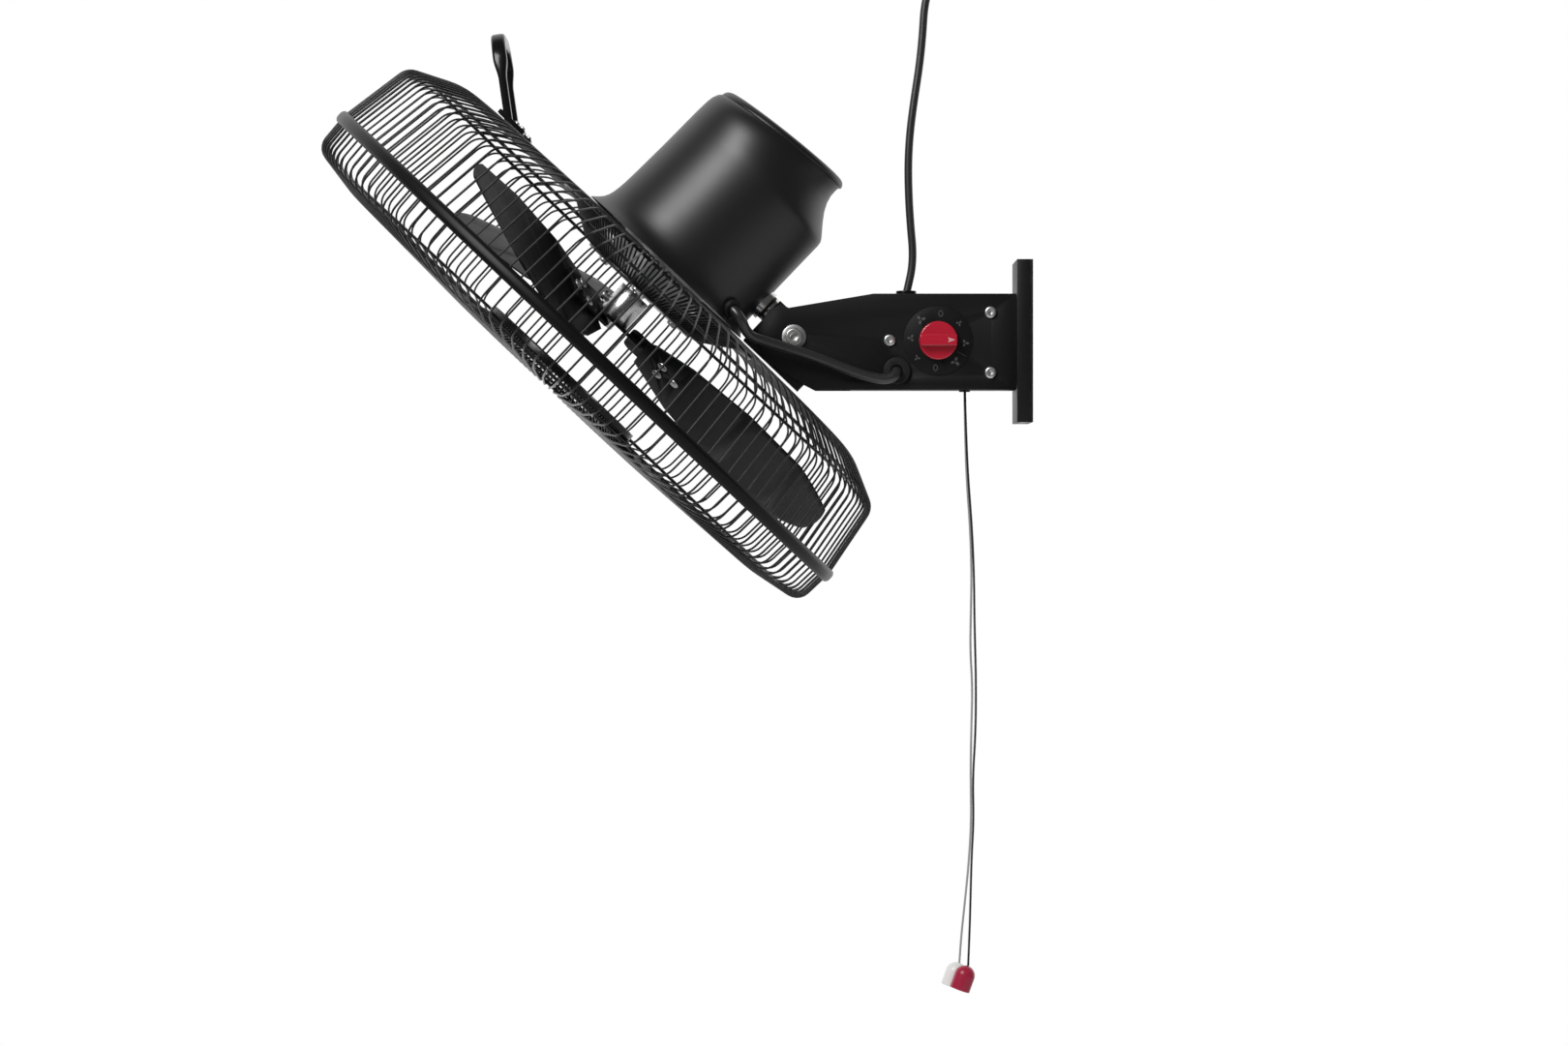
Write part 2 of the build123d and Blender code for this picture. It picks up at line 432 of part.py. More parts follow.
# ---- tilt joint ----
def tilt_joint():
    """The tilt bolt with its washers and nut, the yoke between the cheeks and the swivel post."""
    seat = X_SIDE + WASHER_T
    pin = side_rod(BOLT_R, -seat - BOLT_END, seat, PIVOT_Y, PIVOT_Z)
    cap = side_rod(BOLT_HEAD_R, seat, seat + BOLT_HEAD_T, PIVOT_Y, PIVOT_Z)
    cap = fillet(cap.edges().sort_by(Axis.X)[-1], BOLT_EDGE)
    socket = Plane(origin=(seat + KEY_FROM, PIVOT_Y, PIVOT_Z), x_dir=(0, 1, 0), z_dir=(1, 0, 0))
    cap -= socket * extrude(RegularPolygon(KEY_R, 6), BOLT_HEAD_T * 2)
    keep("tilt_bolt", pin + cap)
    washers = []
    for side in (-1, 1):
        shape = side_rod(WASHER_R, side * X_SIDE, side * seat, PIVOT_Y, PIVOT_Z)
        washers.append(shape - side_rod(BOLT_R + RUN, -FAR, FAR, PIVOT_Y, PIVOT_Z))
    flats = Plane(origin=(-seat, PIVOT_Y, PIVOT_Z), x_dir=(0, 1, 0), z_dir=(-1, 0, 0))
    nut = flats * extrude(RegularPolygon(NUT_R, 6), NUT_T)
    nut -= side_rod(BOLT_R + SHAFT_FIT, -FAR, FAR, PIVOT_Y, PIVOT_Z)
    keep("tilt_washers_and_nut", *washers, nut)
    front, rear = PIVOT_AX - YOKE_FRONT, POST_AX + POST_R + NECK_WALL
    top, low = PIVOT_U - YOKE_TOP, PIVOT_U + YOKE_LOW
    half = YOKE_W / 2
    yoke = block(-half, half, top, low, front, rear)
    yoke -= block(-half + YOKE_T, half - YOKE_T, top + YOKE_T, low + 1, front + YOKE_T, rear + 1)
    trim_z = PIVOT_AX + YOKE_REAR
    yoke -= block(-half - 1, half + 1, PIVOT_U + YOKE_STEP, low + 1, trim_z, rear + 1)
    yoke -= rod(BOLT_R + RUN, (-half - 1, PIVOT_U, PIVOT_AX), (half + 1, PIVOT_U, PIVOT_AX))
    yoke -= rod(POST_R * 0.6 + RUN, (0, top - 1, POST_AX), (0, top + YOKE_T + 1, POST_AX))
    head("tilt_yoke", yoke)
    bushes = []
    for side in (-1, 1):
        ends = [(side * (half + RUN), PIVOT_U, PIVOT_AX), (side * (X_SIDE - ARM_T), PIVOT_U, PIVOT_AX)]
        bushes.append(pipe(WASHER_R, BOLT_R + RUN, *ends))
    head("tilt_bushes", *bushes)
    post = rod(POST_R, (0, top, POST_AX), (0, LEVER_U, POST_AX))
    post += block(0, LEVER_R, LEVER_U, LEVER_U + LEVER_T, POST_AX - LEVER_END_R,
                  POST_AX + LEVER_END_R)
    post += rod(LEVER_END_R, (LEVER_R, LEVER_U, POST_AX), (LEVER_R, LEVER_U + LEVER_T, POST_AX))
    post += rod(PIN_R, (LEVER_R, LINK_U, POST_AX), (LEVER_R, LEVER_U, POST_AX))
    post += rod(POST_R + POST_FOOT, (0, top, POST_AX), (0, top - POST_FOOT_T, POST_AX))
    post += rod(POST_R * 0.6, (0, top, POST_AX), (0, top + YOKE_T + POST_END, POST_AX))
    head("swivel_post", post)


# ---- motor housing ----
def lofted(sections, shrink=0.0):
    """A solid through ellipses, each given as place, centre, half width, half height and lean."""
    faces = []
    for z, centre, wide, tall, lean in sections:
        plane = Plane(origin=(0, centre, z)) * Rot(lean, 0, 0)
        faces.append(plane * Ellipse(wide - shrink, tall - shrink))
    return loft(faces)


def moved_ends(sections, first, last):
    """The same sections with the first and last pushed along the axis."""
    copy = [list(s) for s in sections]
    copy[0][0] += first
    copy[-1][0] += last
    return copy


def along_grommet(reach):
    """A point on the housing grommet's own axis."""
    return (GROMMET_X + GROMMET_WAY[0] * reach, GROMMET_U + GROMMET_WAY[1] * reach,
            HOUSING_GROMMET_Z)


def housing():
    """The motor's plastic shell, its rear cap and the cable grommet."""
    shell = lofted(FRONT_SECTIONS) + lofted(REAR_SECTIONS)
    shell -= lofted(moved_ends(FRONT_SECTIONS, -1, 0), SHELL_T)
    shell -= lofted(moved_ends(REAR_SECTIONS, 0, 1), SHELL_T)
    shell -= rod(POST_R + NECK_WALL * 2, (0, 60, POST_AX), (0, 100, POST_AX))
    out, inn = along_grommet(GROMMET_OUT * 3), along_grommet(-GROMMET_IN - GROMMET_R)
    shell -= rod(GROMMET_R - GROMMET_LIP, inn, out)
    head("motor_housing", shell)
    ring_in, ring_out = along_grommet(-GROMMET_IN), along_grommet(GROMMET_OUT)
    grommet = rod(GROMMET_R - GROMMET_LIP - RUN, ring_in, ring_out)
    lip = rod(GROMMET_R, along_grommet(0), ring_out) - lofted(FRONT_SECTIONS, -RUN)
    grommet = grommet + lip - rod(MOTOR_CABLE_D / 2 + RUN, inn, out)
    head("housing_grommet", grommet.solids().sort_by(SortBy.VOLUME)[-1])
    cap = lofted(CAP_SECTIONS)
    spigot = Plane(origin=(0, CAP_SECTIONS[0][1], SPIGOT_Z)) * Rot(SPIGOT_LEAN, 0, 0)
    ring = Ellipse(SPIGOT_W, SPIGOT_H) - Ellipse(SPIGOT_W - SPIGOT_T, SPIGOT_H - SPIGOT_T)
    cap += spigot * extrude(ring, SPIGOT_L)
    head("rear_cap", cap)


def motor():
    """The induction motor: end bells, stator, windings, bearings, neck and swing motor."""
    z0, z1 = STATOR_Z, STATOR_Z + STATOR_L
    plate_back = GUARD_PLATE_Z + GUARD_PLATE_T
    flange = lofted(moved_ends(FRONT_SECTIONS, -1, 0), SHELL_T + RUN)
    flange &= disc(FAR, BELL_Z, BELL_Z + BELL_FLANGE_T)
    front = disc(BELL_NOSE_R, plate_back, BELL_Z) + flange
    front += disc(STATOR_R + STATOR_WALL, BELL_Z + BELL_FLANGE_T, z0)
    front -= disc(STATOR_R - BELL_SEAT, BELL_Z + BELL_FLANGE_T * 2, z0)
    front -= disc(BEARING_R, plate_back - 1, plate_back + BEARING_T + BELL_FACE)
    front -= disc(SHAFT_R + 1, plate_back, BELL_Z + 10)
    hollow = disc(BELL_HOLLOW_R, plate_back + REAR_BELL_L, BELL_Z + BELL_FLANGE_T * 2 + 1)
    front -= hollow - disc(BEARING_R + BEARING_WALL, plate_back, z0)
    for side in (-1, 1):
        for spot in ((0, side), (side, 0)):
            place = (spot[0] * PLATE_BOLT_R, spot[1] * PLATE_BOLT_R)
            front -= disc(SCREW_R + RUN, plate_back - 1, plate_back + PLATE_BOLT_L, *place)
    rear = disc(STATOR_R + STATOR_WALL, z1, z1 + REAR_BELL_L)
    rear -= disc(STATOR_R - BELL_SEAT, z1, z1 + REAR_BELL_IN)
    rear += disc(BEARING_R + BEARING_WALL, z1 + BELL_FACE, z1 + REAR_BELL_IN)
    rear -= disc(BEARING_R, z1 + BEARING_IN, z1 + BEARING_T + BELL_FACE)
    rear -= disc(SHAFT_R + 1, z1, z1 + REAR_BELL_L - 1)
    head("front_bell", front)
    head("rear_bell", rear)
    core = disc(STATOR_R + STATOR_WALL, z0, z1) - disc(STATOR_BORE_R, z0 - 1, z1 + 1)
    slot = block(STATOR_BORE_R - 2.5, SLOT_R, -SLOT_HALF, SLOT_HALF, z0 - 1, z1 + 1)
    for n in range(SLOT_COUNT):
        core -= Rot(0, 0, n * 360 / SLOT_COUNT) * slot
    head("stator_core", core)
    coils = [disc(WINDING_R, z0 - WINDING_L - 1, z0 - GAP) - disc(WINDING_BORE_R, 0, z0),
             disc(WINDING_R, z1 + GAP, z1 + WINDING_L) - disc(WINDING_BORE_R, z1, FAR)]
    head("stator_windings", *coils)
    bearings = []
    for z in (plate_back + BEARING_IN, z1 + BEARING_IN + 0.5):
        race = disc(BEARING_R - SHAFT_FIT, z, z + BEARING_T)
        bearings.append(race - disc(SHAFT_R + SHAFT_FIT, z - 1, z + BEARING_T + 1))
    head("bearings", *bearings)
    post_room = rod(POST_R + 2, (0, 50, POST_AX), (0, SOCKET_END + 1, POST_AX))
    socket = rod(POST_R + 5, (0, SOCKET_U, POST_AX), (0, SOCKET_END, POST_AX))
    socket += block(-25, 25, SOCKET_U, SOCKET_U + 3, POST_AX - 12, POST_AX + 12)
    for side in (-1, 1):
        x0, x1 = sorted((side * 20.5, side * 25))
        socket += block(x0, x1, 38, SOCKET_U, POST_AX - 12, POST_AX + 12)
    head("neck_socket", socket - post_room - disc(STATOR_R + STATOR_WALL + 0.01, 60, FAR))
    bush = pipe(POST_R + 1.98, POST_R + RUN, (0, SOCKET_U, POST_AX), (0, SOCKET_END, POST_AX))
    bush += pipe(POST_R + 3, POST_R + RUN, (0, SOCKET_END, POST_AX), (0, BUSH_END, POST_AX))
    head("neck_bush", bush)
    drive_end = DRIVE_U + DRIVE_L
    crank_u = drive_end + DRIVE_SHAFT_L
    mount_z = z1 + REAR_BELL_L + RUN
    drive = rod(DRIVE_R, (0, DRIVE_U, SWING_Z), (0, drive_end, SWING_Z))
    drive += rod(DRIVE_SHAFT_R, (0, drive_end, SWING_Z), (0, crank_u, SWING_Z))
    drive += block(-14, 14, DRIVE_U - 3, DRIVE_U, mount_z, SWING_Z + 15)
    drive += block(-18, 18, 4, DRIVE_U, mount_z, z1 + REAR_BELL_L + 2.5)
    head("swing_motor", drive)
    crank = rod(CRANK_R + LEVER_END_R, (0, crank_u - CRANK_T, SWING_Z), (0, crank_u, SWING_Z))
    crank -= rod(DRIVE_SHAFT_R + RUN, (0, DRIVE_U, SWING_Z), (0, LINK_U, SWING_Z))
    crank += rod(PIN_R, (CRANK_R, crank_u, SWING_Z), (CRANK_R, LINK_U - GAP, SWING_Z))
    head("swing_crank", crank)
    ends = [(CRANK_R, SWING_Z), (LEVER_R, POST_AX)]
    link = Plane(origin=(0, LINK_U + LINK_T, 0), x_dir=(1, 0, 0), z_dir=(0, -1, 0)) * extrude(
        make_hull([e for end in ends for e in (Pos(*end) * Circle(LEVER_END_R)).edges()]),
        LINK_T)
    for x, z in ends:
        link -= rod(PIN_R + RUN, (x, LINK_U - 1, z), (x, LINK_U + 5, z))
    head("swing_link", link)


# ---- turning parts ----
def rotor():
    """The shaft, the rotor, the hub, the spider and the three riveted blades."""
    z0, z1 = STATOR_Z, STATOR_Z + STATOR_L
    shaft = disc(SHAFT_R, HUB_FRONT - SHAFT_END, z1 + SHAFT_BACK)
    head("motor_shaft", shaft)
    core = disc(ROTOR_R, z0 + ROTOR_IN, z1 - ROTOR_IN)
    core += disc(ROTOR_RING_R, z0 - ROTOR_RING_L, z1 + ROTOR_RING_L)
    head("rotor_core", core - disc(SHAFT_R + 0.01, 0, FAR))
    hub = disc(HUB_R, HUB_FRONT, HUB_BACK) - disc(SHAFT_R + SHAFT_FIT, 0, FAR)
    screw_z = HUB_FRONT + HUB_SCREW_AT
    screw_from = (0, -SHAFT_R - 0.1, screw_z)
    head_at = -HUB_R - HUB_SCREW_OUT
    hub -= rod(PIN_R + RUN, screw_from, (0, -HUB_R * 2, screw_z))
    head("blade_hub", hub)
    grub = rod(PIN_R, screw_from, (0, head_at - HUB_SCREW_HEAD_T / 2, screw_z))
    grub += rod(HUB_SCREW_HEAD_R, (0, head_at, screw_z), (0, head_at - HUB_SCREW_HEAD_T, screw_z))
    head("hub_screw", grub)
    seat = HUB_FRONT - SPIDER_T / 2
    spider = disc(SPIDER_R, HUB_FRONT - SPIDER_T, HUB_FRONT) - disc(SHAFT_R + GAP, 0, FAR)
    arm = Pos(SPIDER_ARM_AT, 0, seat) * Rot(-BLADE_PITCH, 0, 0) * Box(
        SPIDER_ARM_L, SPIDER_ARM_W, SPIDER_T)
    root = Pos(SPIDER_ROOT_AT, 0, seat) * Box(SPIDER_ROOT_L, SPIDER_ROOT_W, SPIDER_T)
    thickness = Axis((0, 0, 0), (0, sin(radians(BLADE_PITCH)), cos(radians(BLADE_PITCH))))
    arm = fillet(arm.edges().filter_by(thickness), SPIDER_EDGE)
    arm = arm + root - disc(HUB_R + 1, HUB_FRONT + 0.01, FAR)
    blade = one_blade()
    rivets = []
    for x, y in RIVETS:
        rivets.append(Pos(0, 0, seat) * Rot(-BLADE_PITCH, 0, 0) * Pos(x, y, 0) * rivet())
    for r in rivets:
        arm -= r
        blade -= r
    copies = [BLADE_PHASE + 360 * n / BLADE_COUNT for n in range(BLADE_COUNT)]
    for angle in copies:
        spider += Rot(0, 0, angle) * arm
    head("blade_spider", spider)
    head("blades", *[Rot(0, 0, angle) * blade for angle in copies])
    head("blade_rivets", *[Rot(0, 0, angle) * r for angle in copies for r in rivets])


def rivet():
    """A domed rivet through the spider arm and the blade."""
    low, high = -SPIDER_T / 2 - BLADE_T - BLADE_LIFT, SPIDER_T / 2
    shape = disc(RIVET_R, low, high)
    for z, end in ((low, -1), (high, 1)):
        shape += disc(RIVET_HEAD_R, *sorted((z, z + end * RIVET_HEAD_T)))
    return shape


def one_blade():
    """A pitched sheet blade: sections across the radius, cut to a rounded outline."""
    seat = HUB_FRONT - SPIDER_T / 2
    faces = []
    for x, pitch, chord, sweep_y in BLADE_SECTIONS:
        plane = Plane(origin=(x, 0, seat), x_dir=(0, 1, 0), z_dir=(1, 0, 0))
        drop = -(SPIDER_T / 2 + BLADE_LIFT + BLADE_T / 2)
        strip = Pos(sweep_y, drop) * Rectangle(chord, BLADE_T)
        faces.append(plane * (Rot(0, 0, -pitch) * strip))
    blank = loft(faces, ruled=True)
    corners = [(x, y, 0) for x, y in BLADE_OUTLINE]
    outline = make_face(FilletPolyline(*corners, radius=BLADE_CORNERS, close=True))
    return blank & (Pos(0, 0, -80) * extrude(outline, 200)) & disc(BLADE_R, -80, 120)


# ---- guards ----
def guard_wires(points):
    """All the radial wires of one guard, each as a side length and a face length, mitred."""
    path = Polyline(*[(r, 0, z) for r, z in points])
    end = Plane(origin=path @ 0, z_dir=path % 0)
    wire = sweep(end * Circle(WIRE_D / 2), path=path, transition=Transition.RIGHT)
    (r0, z0), (r1, z1) = points[SIDE_RUNS], points[SIDE_RUNS + 1]
    way = Vector(r1 - r0, 0, z1 - z0).normalized()
    cut = Plane(origin=Vector(r0, 0, z0) + way * WIRE_D, z_dir=way)
    lengths = split(wire, bisect_by=cut, keep=Keep.BOTH).solids()
    step = 360 / WIRE_COUNT
    turns = [Rot(0, 0, (n + WIRE_PHASE) * step) for n in range(WIRE_COUNT)]
    return [turn * length for turn in turns for length in lengths]


def ring_inside(points, index, share, side):
    """A round ring wire welded on the inner side of the wires, along one run of their shape."""
    (r0, z0), (r1, z1) = points[index], points[index + 1]
    run = hypot(r1 - r0, z1 - z0)
    off = (WIRE_D + RING_D) / 2 + RUN
    normal = ((z1 - z0) / run, -(r1 - r0) / run)
    r = r0 + (r1 - r0) * share + side * off * normal[0]
    z = z0 + (z1 - z0) * share + side * off * normal[1]
    return Pos(0, 0, z) * Torus(r, RING_D / 2)


def guards():
    """Both wire guards, the centre plate, the front disc, the clamp ring and the handle."""
    rim_z = RIM_D / 2 + RIM_GAP
    rings = [Pos(0, 0, side * rim_z) * Torus(RIM_R, RIM_D / 2) for side in (-1, 1)]
    rings += [ring_inside(REAR_WIRE, run, share, -1) for run, share in REAR_RINGS]
    rings += [ring_inside(FRONT_WIRE, run, share, 1) for run, share in FRONT_RINGS]
    head("guard_rings", *rings)
    head("rear_guard", *guard_wires(REAR_WIRE))
    head("front_guard", *guard_wires(FRONT_WIRE))
    back = GUARD_PLATE_Z + GUARD_PLATE_T
    plate = disc(GUARD_PLATE_R, GUARD_PLATE_Z, back) - disc(HUB_R, 0, 100)
    bolts = []
    for side in (-1, 1):
        for spot in ((0, side), (side, 0)):
            place = (spot[0] * PLATE_BOLT_R, spot[1] * PLATE_BOLT_R)
            plate -= disc(SCREW_R + RUN, 0, 100, *place)
            start = (place[0], place[1], GUARD_PLATE_Z)
            bolts.append(pan_screw(start, (0, 0, -1), PLATE_BOLT_L))
    head("guard_plate", plate)
    badge = disc(DISC_R, DISC_BACK - DISC_T, DISC_BACK)
    badge -= disc(DISC_R - DISC_WALL, DISC_BACK - DISC_T + DISC_FACE, 0)
    badge = fillet(badge.edges().sort_by(Axis.Z)[0], DISC_EDGE)
    head("front_disc", badge)
    inner, groove, lip = RIM_R + CLAMP_IN, RIM_R + CLAMP_GROOVE, CLAMP_HALF
    edge = lip - CLAMP_EDGE_T
    fold = lip - CLAMP_LIP
    band = [(inner, lip), (CLAMP_R - CLAMP_EDGE, lip), (CLAMP_R, edge), (CLAMP_R, -edge),
            (CLAMP_R - CLAMP_EDGE, -lip), (inner, -lip), (inner, -fold), (groove, -fold),
            (groove, fold), (inner, fold)]
    clamp = revolved(band)
    half_gap = CLAMP_GAP_HALF
    clamp -= Rot(0, 0, CLAMP_GAP_AT) * block(RIM_R - 6, CLAMP_R + 9, -half_gap, half_gap, -8, 8)
    screw_r = CLAMP_R + EAR_SCREW_AT
    ear_end = half_gap + EAR_T
    for side in (-1, 1):
        y0, y1 = sorted((side * half_gap, side * ear_end))
        ear = block(CLAMP_R - EAR_ROOT, CLAMP_R + EAR_OUT, y0, y1, -lip + 1, lip - 1)
        ear -= rod(EAR_HOLE_R, (screw_r, -5, 0), (screw_r, 5, 0))
        clamp += Rot(0, 0, CLAMP_GAP_AT) * ear
    head("clamp_ring", clamp)
    screw = pan_screw((screw_r, ear_end, 0), (0, 1, 0), CLAMP_SCREW_L, CLAMP_SCREW_R,
                      CLAMP_SCREW_HEAD_R, CLAMP_SCREW_HEAD_T)
    head("guard_screws", *bolts, Rot(0, 0, CLAMP_GAP_AT) * screw)


def handle():
    """The moulded carrying handle on the rear guard, a bow across the fan, and its screws."""
    out = (-sin(radians(HANDLE_LEAN)), cos(radians(HANDLE_LEAN)))
    plane = Plane(origin=(0, HANDLE_U, HANDLE_Z), x_dir=(1, 0, 0), z_dir=(0, -out[1], out[0]))
    half, tall = HANDLE_HALF, HANDLE_H
    out_x, in_x, in_top = half + LEG_HALF, half - LEG_HALF, tall - GRIP_DEEP
    outer = make_face(FilletPolyline((-out_x, 6, 0), (-out_x, tall * 0.7, 0),
                                     (-half + 12, tall, 0), (half - 12, tall, 0),
                                     (out_x, tall * 0.7, 0), (out_x, 6, 0),
                                     radius=[8, 16, 20, 20, 16, 8], close=True))
    inner = make_face(FilletPolyline((-in_x, -20, 0), (-in_x, tall * 0.66, 0),
                                     (-half + 14, in_top, 0), (half - 14, in_top, 0),
                                     (in_x, tall * 0.66, 0), (in_x, -20, 0),
                                     radius=[6, 14, 16, 16, 14, 6], close=True))
    bow = extrude(outer, HANDLE_T / 2, both=True) - extrude(inner, HANDLE_T * 4, both=True)
    shape = plane * bow
    feet = []
    screws = []
    for side in (-1, 1):
        foot = block(side * half - FOOT_HALF, side * half + FOOT_HALF, HANDLE_U - FOOT_FRONT,
                     HANDLE_U + FOOT_BACK, FOOT_Z, FOOT_Z + FOOT_T)
        for du in FOOT_SCREWS:
            place = (side * half, HANDLE_U + du)
            foot -= disc(FOOT_SCREW_R + RUN, 0, FOOT_Z + FOOT_T + 1, *place)
            screws.append(pan_screw((*place, FOOT_Z + FOOT_T), (0, 0, 1), FOOT_T, FOOT_SCREW_R,
                                    FOOT_SCREW_HEAD_R, FOOT_SCREW_HEAD_T))
        feet.append(foot)
    for foot in feet:
        shape += foot
    head("guard_handle", shape)
    head("handle_screws", *screws)


# ---- cables ----
def from_head(x, u, z):
    """A point of the head's frame, in the part's frame."""
    return (x, HEAD_Y + u * AX[1] + z * AX[0], HEAD_Z - u * AX[0] + z * AX[1])


LEAD = [(0, GLAND_Y, ARM_H / 2), (0, -101.2, 50.0), (0, -98.7, 62.0), (0, -98.0, 77.0),
        (0, -99.8, 96.0), (0, -101.4, 120.0), (0, -102.0, 148.0), (0, -100.6, 174.0),
        (0, -97.0, 202.0), (0, -92.6, 230.0), (0, -89.9, 256.0), (0, -88.4, 282.0),
        (1, -82.0, 304.0), (5, -66.0, 318.0), (13, -46.0, 322.0), (24, -26.0, 324.0)]
COIL_START = (32.0, -11.5, 327.0)
TAIL = [(37.6, -10.0, 363.7), (33.0, -10.5, 379.5), (25.0, -11.5, 394.0), (16.5, -12.5, 408.0),
        (11.0, -13.2, 423.0), (10.0, -13.5, 439.0)]


def cables():
    """The mains lead with its gland, coil, tie and plug, and the cable to the motor."""
    top = ARM_H / 2
    gland = disc(GLAND_R, top, top + GLAND_T, 0, GLAND_Y)
    gland += disc(GLAND_NECK_R - RUN, top - GLAND_IN, top, 0, GLAND_Y)
    keep("lead_gland", gland - disc(LEAD_D / 2 + RUN, 0, FAR, 0, GLAND_Y))
    cord("mains_lead", [*LEAD, COIL_START], LEAD_D)
    wide = revolve(make_face(Pos(COIL_R, 0) * Plane.XZ * Ellipse(COIL_HALF_W, COIL_HALF_T)),
                   Axis.Z, 360)
    coil = Plane(origin=(0, COIL_Y, COIL_Z), z_dir=(0, -1, 0)) * wide
    keep("lead_coil", coil)
    tie = Plane(origin=(-COIL_R, COIL_Y, COIL_Z), z_dir=(0, 0, 1))
    grown = TIE_GAP + TIE_T
    loop = Ellipse(COIL_HALF_W + grown, COIL_HALF_T + grown)
    loop -= Ellipse(COIL_HALF_W + TIE_GAP, COIL_HALF_T + TIE_GAP)
    keep("lead_tie", tie * extrude(loop, TIE_W / 2, both=True))
    cord("lead_tail", TAIL, LEAD_D)
    plug_axis = Plane(origin=TAIL[-1], z_dir=(0, 0, 1))
    body = loft([Circle(PLUG_NECK_R), Pos(0, 0, PLUG_NECK_L) * Circle(PLUG_WAIST_R),
                 Pos(0, 0, PLUG_BACK_L) * Rectangle(PLUG_FACE_W, PLUG_FACE_T),
                 Pos(0, 0, PLUG_L) * Rectangle(PLUG_W, PLUG_T)])
    plug = plug_axis * body
    pins = [plug_axis * Pos(x, 0, PLUG_L) * Cylinder(PLUG_PIN_R, PLUG_PIN_L, align=MIN)
            for x in (-PIN_X, PIN_X)]
    keep("mains_plug", plug + pins[0] + pins[1])
    collar = side_rod(COLLAR_R, X_SIDE, X_SIDE + COLLAR_T, GROMMET_Y, GROMMET_Z)
    collar += side_rod(GROMMET_NECK_R - RUN, X_SIDE - COLLAR_IN, X_SIDE, GROMMET_Y, GROMMET_Z)
    bore = side_rod(MOTOR_CABLE_D / 2 + RUN, 0, 60, GROMMET_Y, GROMMET_Z)
    keep("arm_grommet", collar - bore)
    cord("motor_cable_arm", ARM_CABLE, MOTOR_CABLE_D)
    cord("motor_cable_head", HEAD_CABLE, MOTOR_CABLE_D)


ARM_CABLE = [(11.5, GROMMET_Y, GROMMET_Z), (21.5, GROMMET_Y, GROMMET_Z), (26.5, -113.2, -28.6),
             (28.0, -121.0, -31.9), (28.4, -133.0, -30.0), (29.0, -147.0, -25.6),
             (30.0, -166.9, -17.9), (32.0, -186.0, -10.9), (34.5, -204.0, -5.4)]
HEAD_CABLE = [(34.5, -204.0, -5.4), (36.75, -220.2, -0.45), (43.0, -236.0, 4.4),
              from_head(54.5, 76.5, HOUSING_GROMMET_Z + 0.4),
              from_head(GROMMET_X - 1.8, GROMMET_U - 2.4, HOUSING_GROMMET_Z)]

wall_parts()
arm_parts()
arm_contents()
knob()
pull_cords()
tilt_joint()
housing()
motor()
rotor()
guards()
handle()
cables()

for name, shape in nodes.items():
    export_step(shape, f"parts/{name}.step")
print(len(nodes), "nodes written")
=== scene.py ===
"""A wall-mounted fan: the finish of every piece, its cords, and a plain studio around it.

Lengths are metres. The fan hangs on the wall plane Y = 0, with Z up, and is seen from its +X side.
"""

import json
import logging
from dataclasses import dataclass, field
from enum import Enum
from math import cos, pi, radians, sin, tan
from typing import Iterable, Sequence

import bmesh
import bpy
from mathutils import Matrix, Vector
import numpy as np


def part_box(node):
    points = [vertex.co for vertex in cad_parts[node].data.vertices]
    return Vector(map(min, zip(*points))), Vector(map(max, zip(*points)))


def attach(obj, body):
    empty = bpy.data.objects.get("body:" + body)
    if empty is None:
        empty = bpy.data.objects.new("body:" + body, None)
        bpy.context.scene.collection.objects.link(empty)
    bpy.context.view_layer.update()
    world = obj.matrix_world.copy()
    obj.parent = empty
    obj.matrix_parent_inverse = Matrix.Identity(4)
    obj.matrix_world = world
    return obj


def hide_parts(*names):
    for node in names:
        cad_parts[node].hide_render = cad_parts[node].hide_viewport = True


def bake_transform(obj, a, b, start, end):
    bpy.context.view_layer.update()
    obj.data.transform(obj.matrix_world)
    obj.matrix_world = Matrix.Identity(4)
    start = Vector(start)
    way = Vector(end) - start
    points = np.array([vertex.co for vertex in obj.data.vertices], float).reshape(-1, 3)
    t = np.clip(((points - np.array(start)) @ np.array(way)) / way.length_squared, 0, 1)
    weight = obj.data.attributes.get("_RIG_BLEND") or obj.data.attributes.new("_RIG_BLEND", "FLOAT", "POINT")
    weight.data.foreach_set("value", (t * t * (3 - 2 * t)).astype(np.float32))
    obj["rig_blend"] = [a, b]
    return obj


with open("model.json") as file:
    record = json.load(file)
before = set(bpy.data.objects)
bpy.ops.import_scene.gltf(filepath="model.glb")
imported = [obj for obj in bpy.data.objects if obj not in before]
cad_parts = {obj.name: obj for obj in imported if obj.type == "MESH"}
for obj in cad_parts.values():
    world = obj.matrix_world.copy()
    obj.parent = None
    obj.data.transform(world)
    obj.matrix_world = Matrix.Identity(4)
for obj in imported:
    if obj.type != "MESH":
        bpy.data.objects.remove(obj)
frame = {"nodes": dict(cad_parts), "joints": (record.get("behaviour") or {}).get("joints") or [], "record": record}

LOG = logging.getLogger("wall_fan")
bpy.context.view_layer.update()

Colour = tuple[float, float, float]
Place = tuple[float, float, float]
Outline = Sequence[tuple[float, float]]


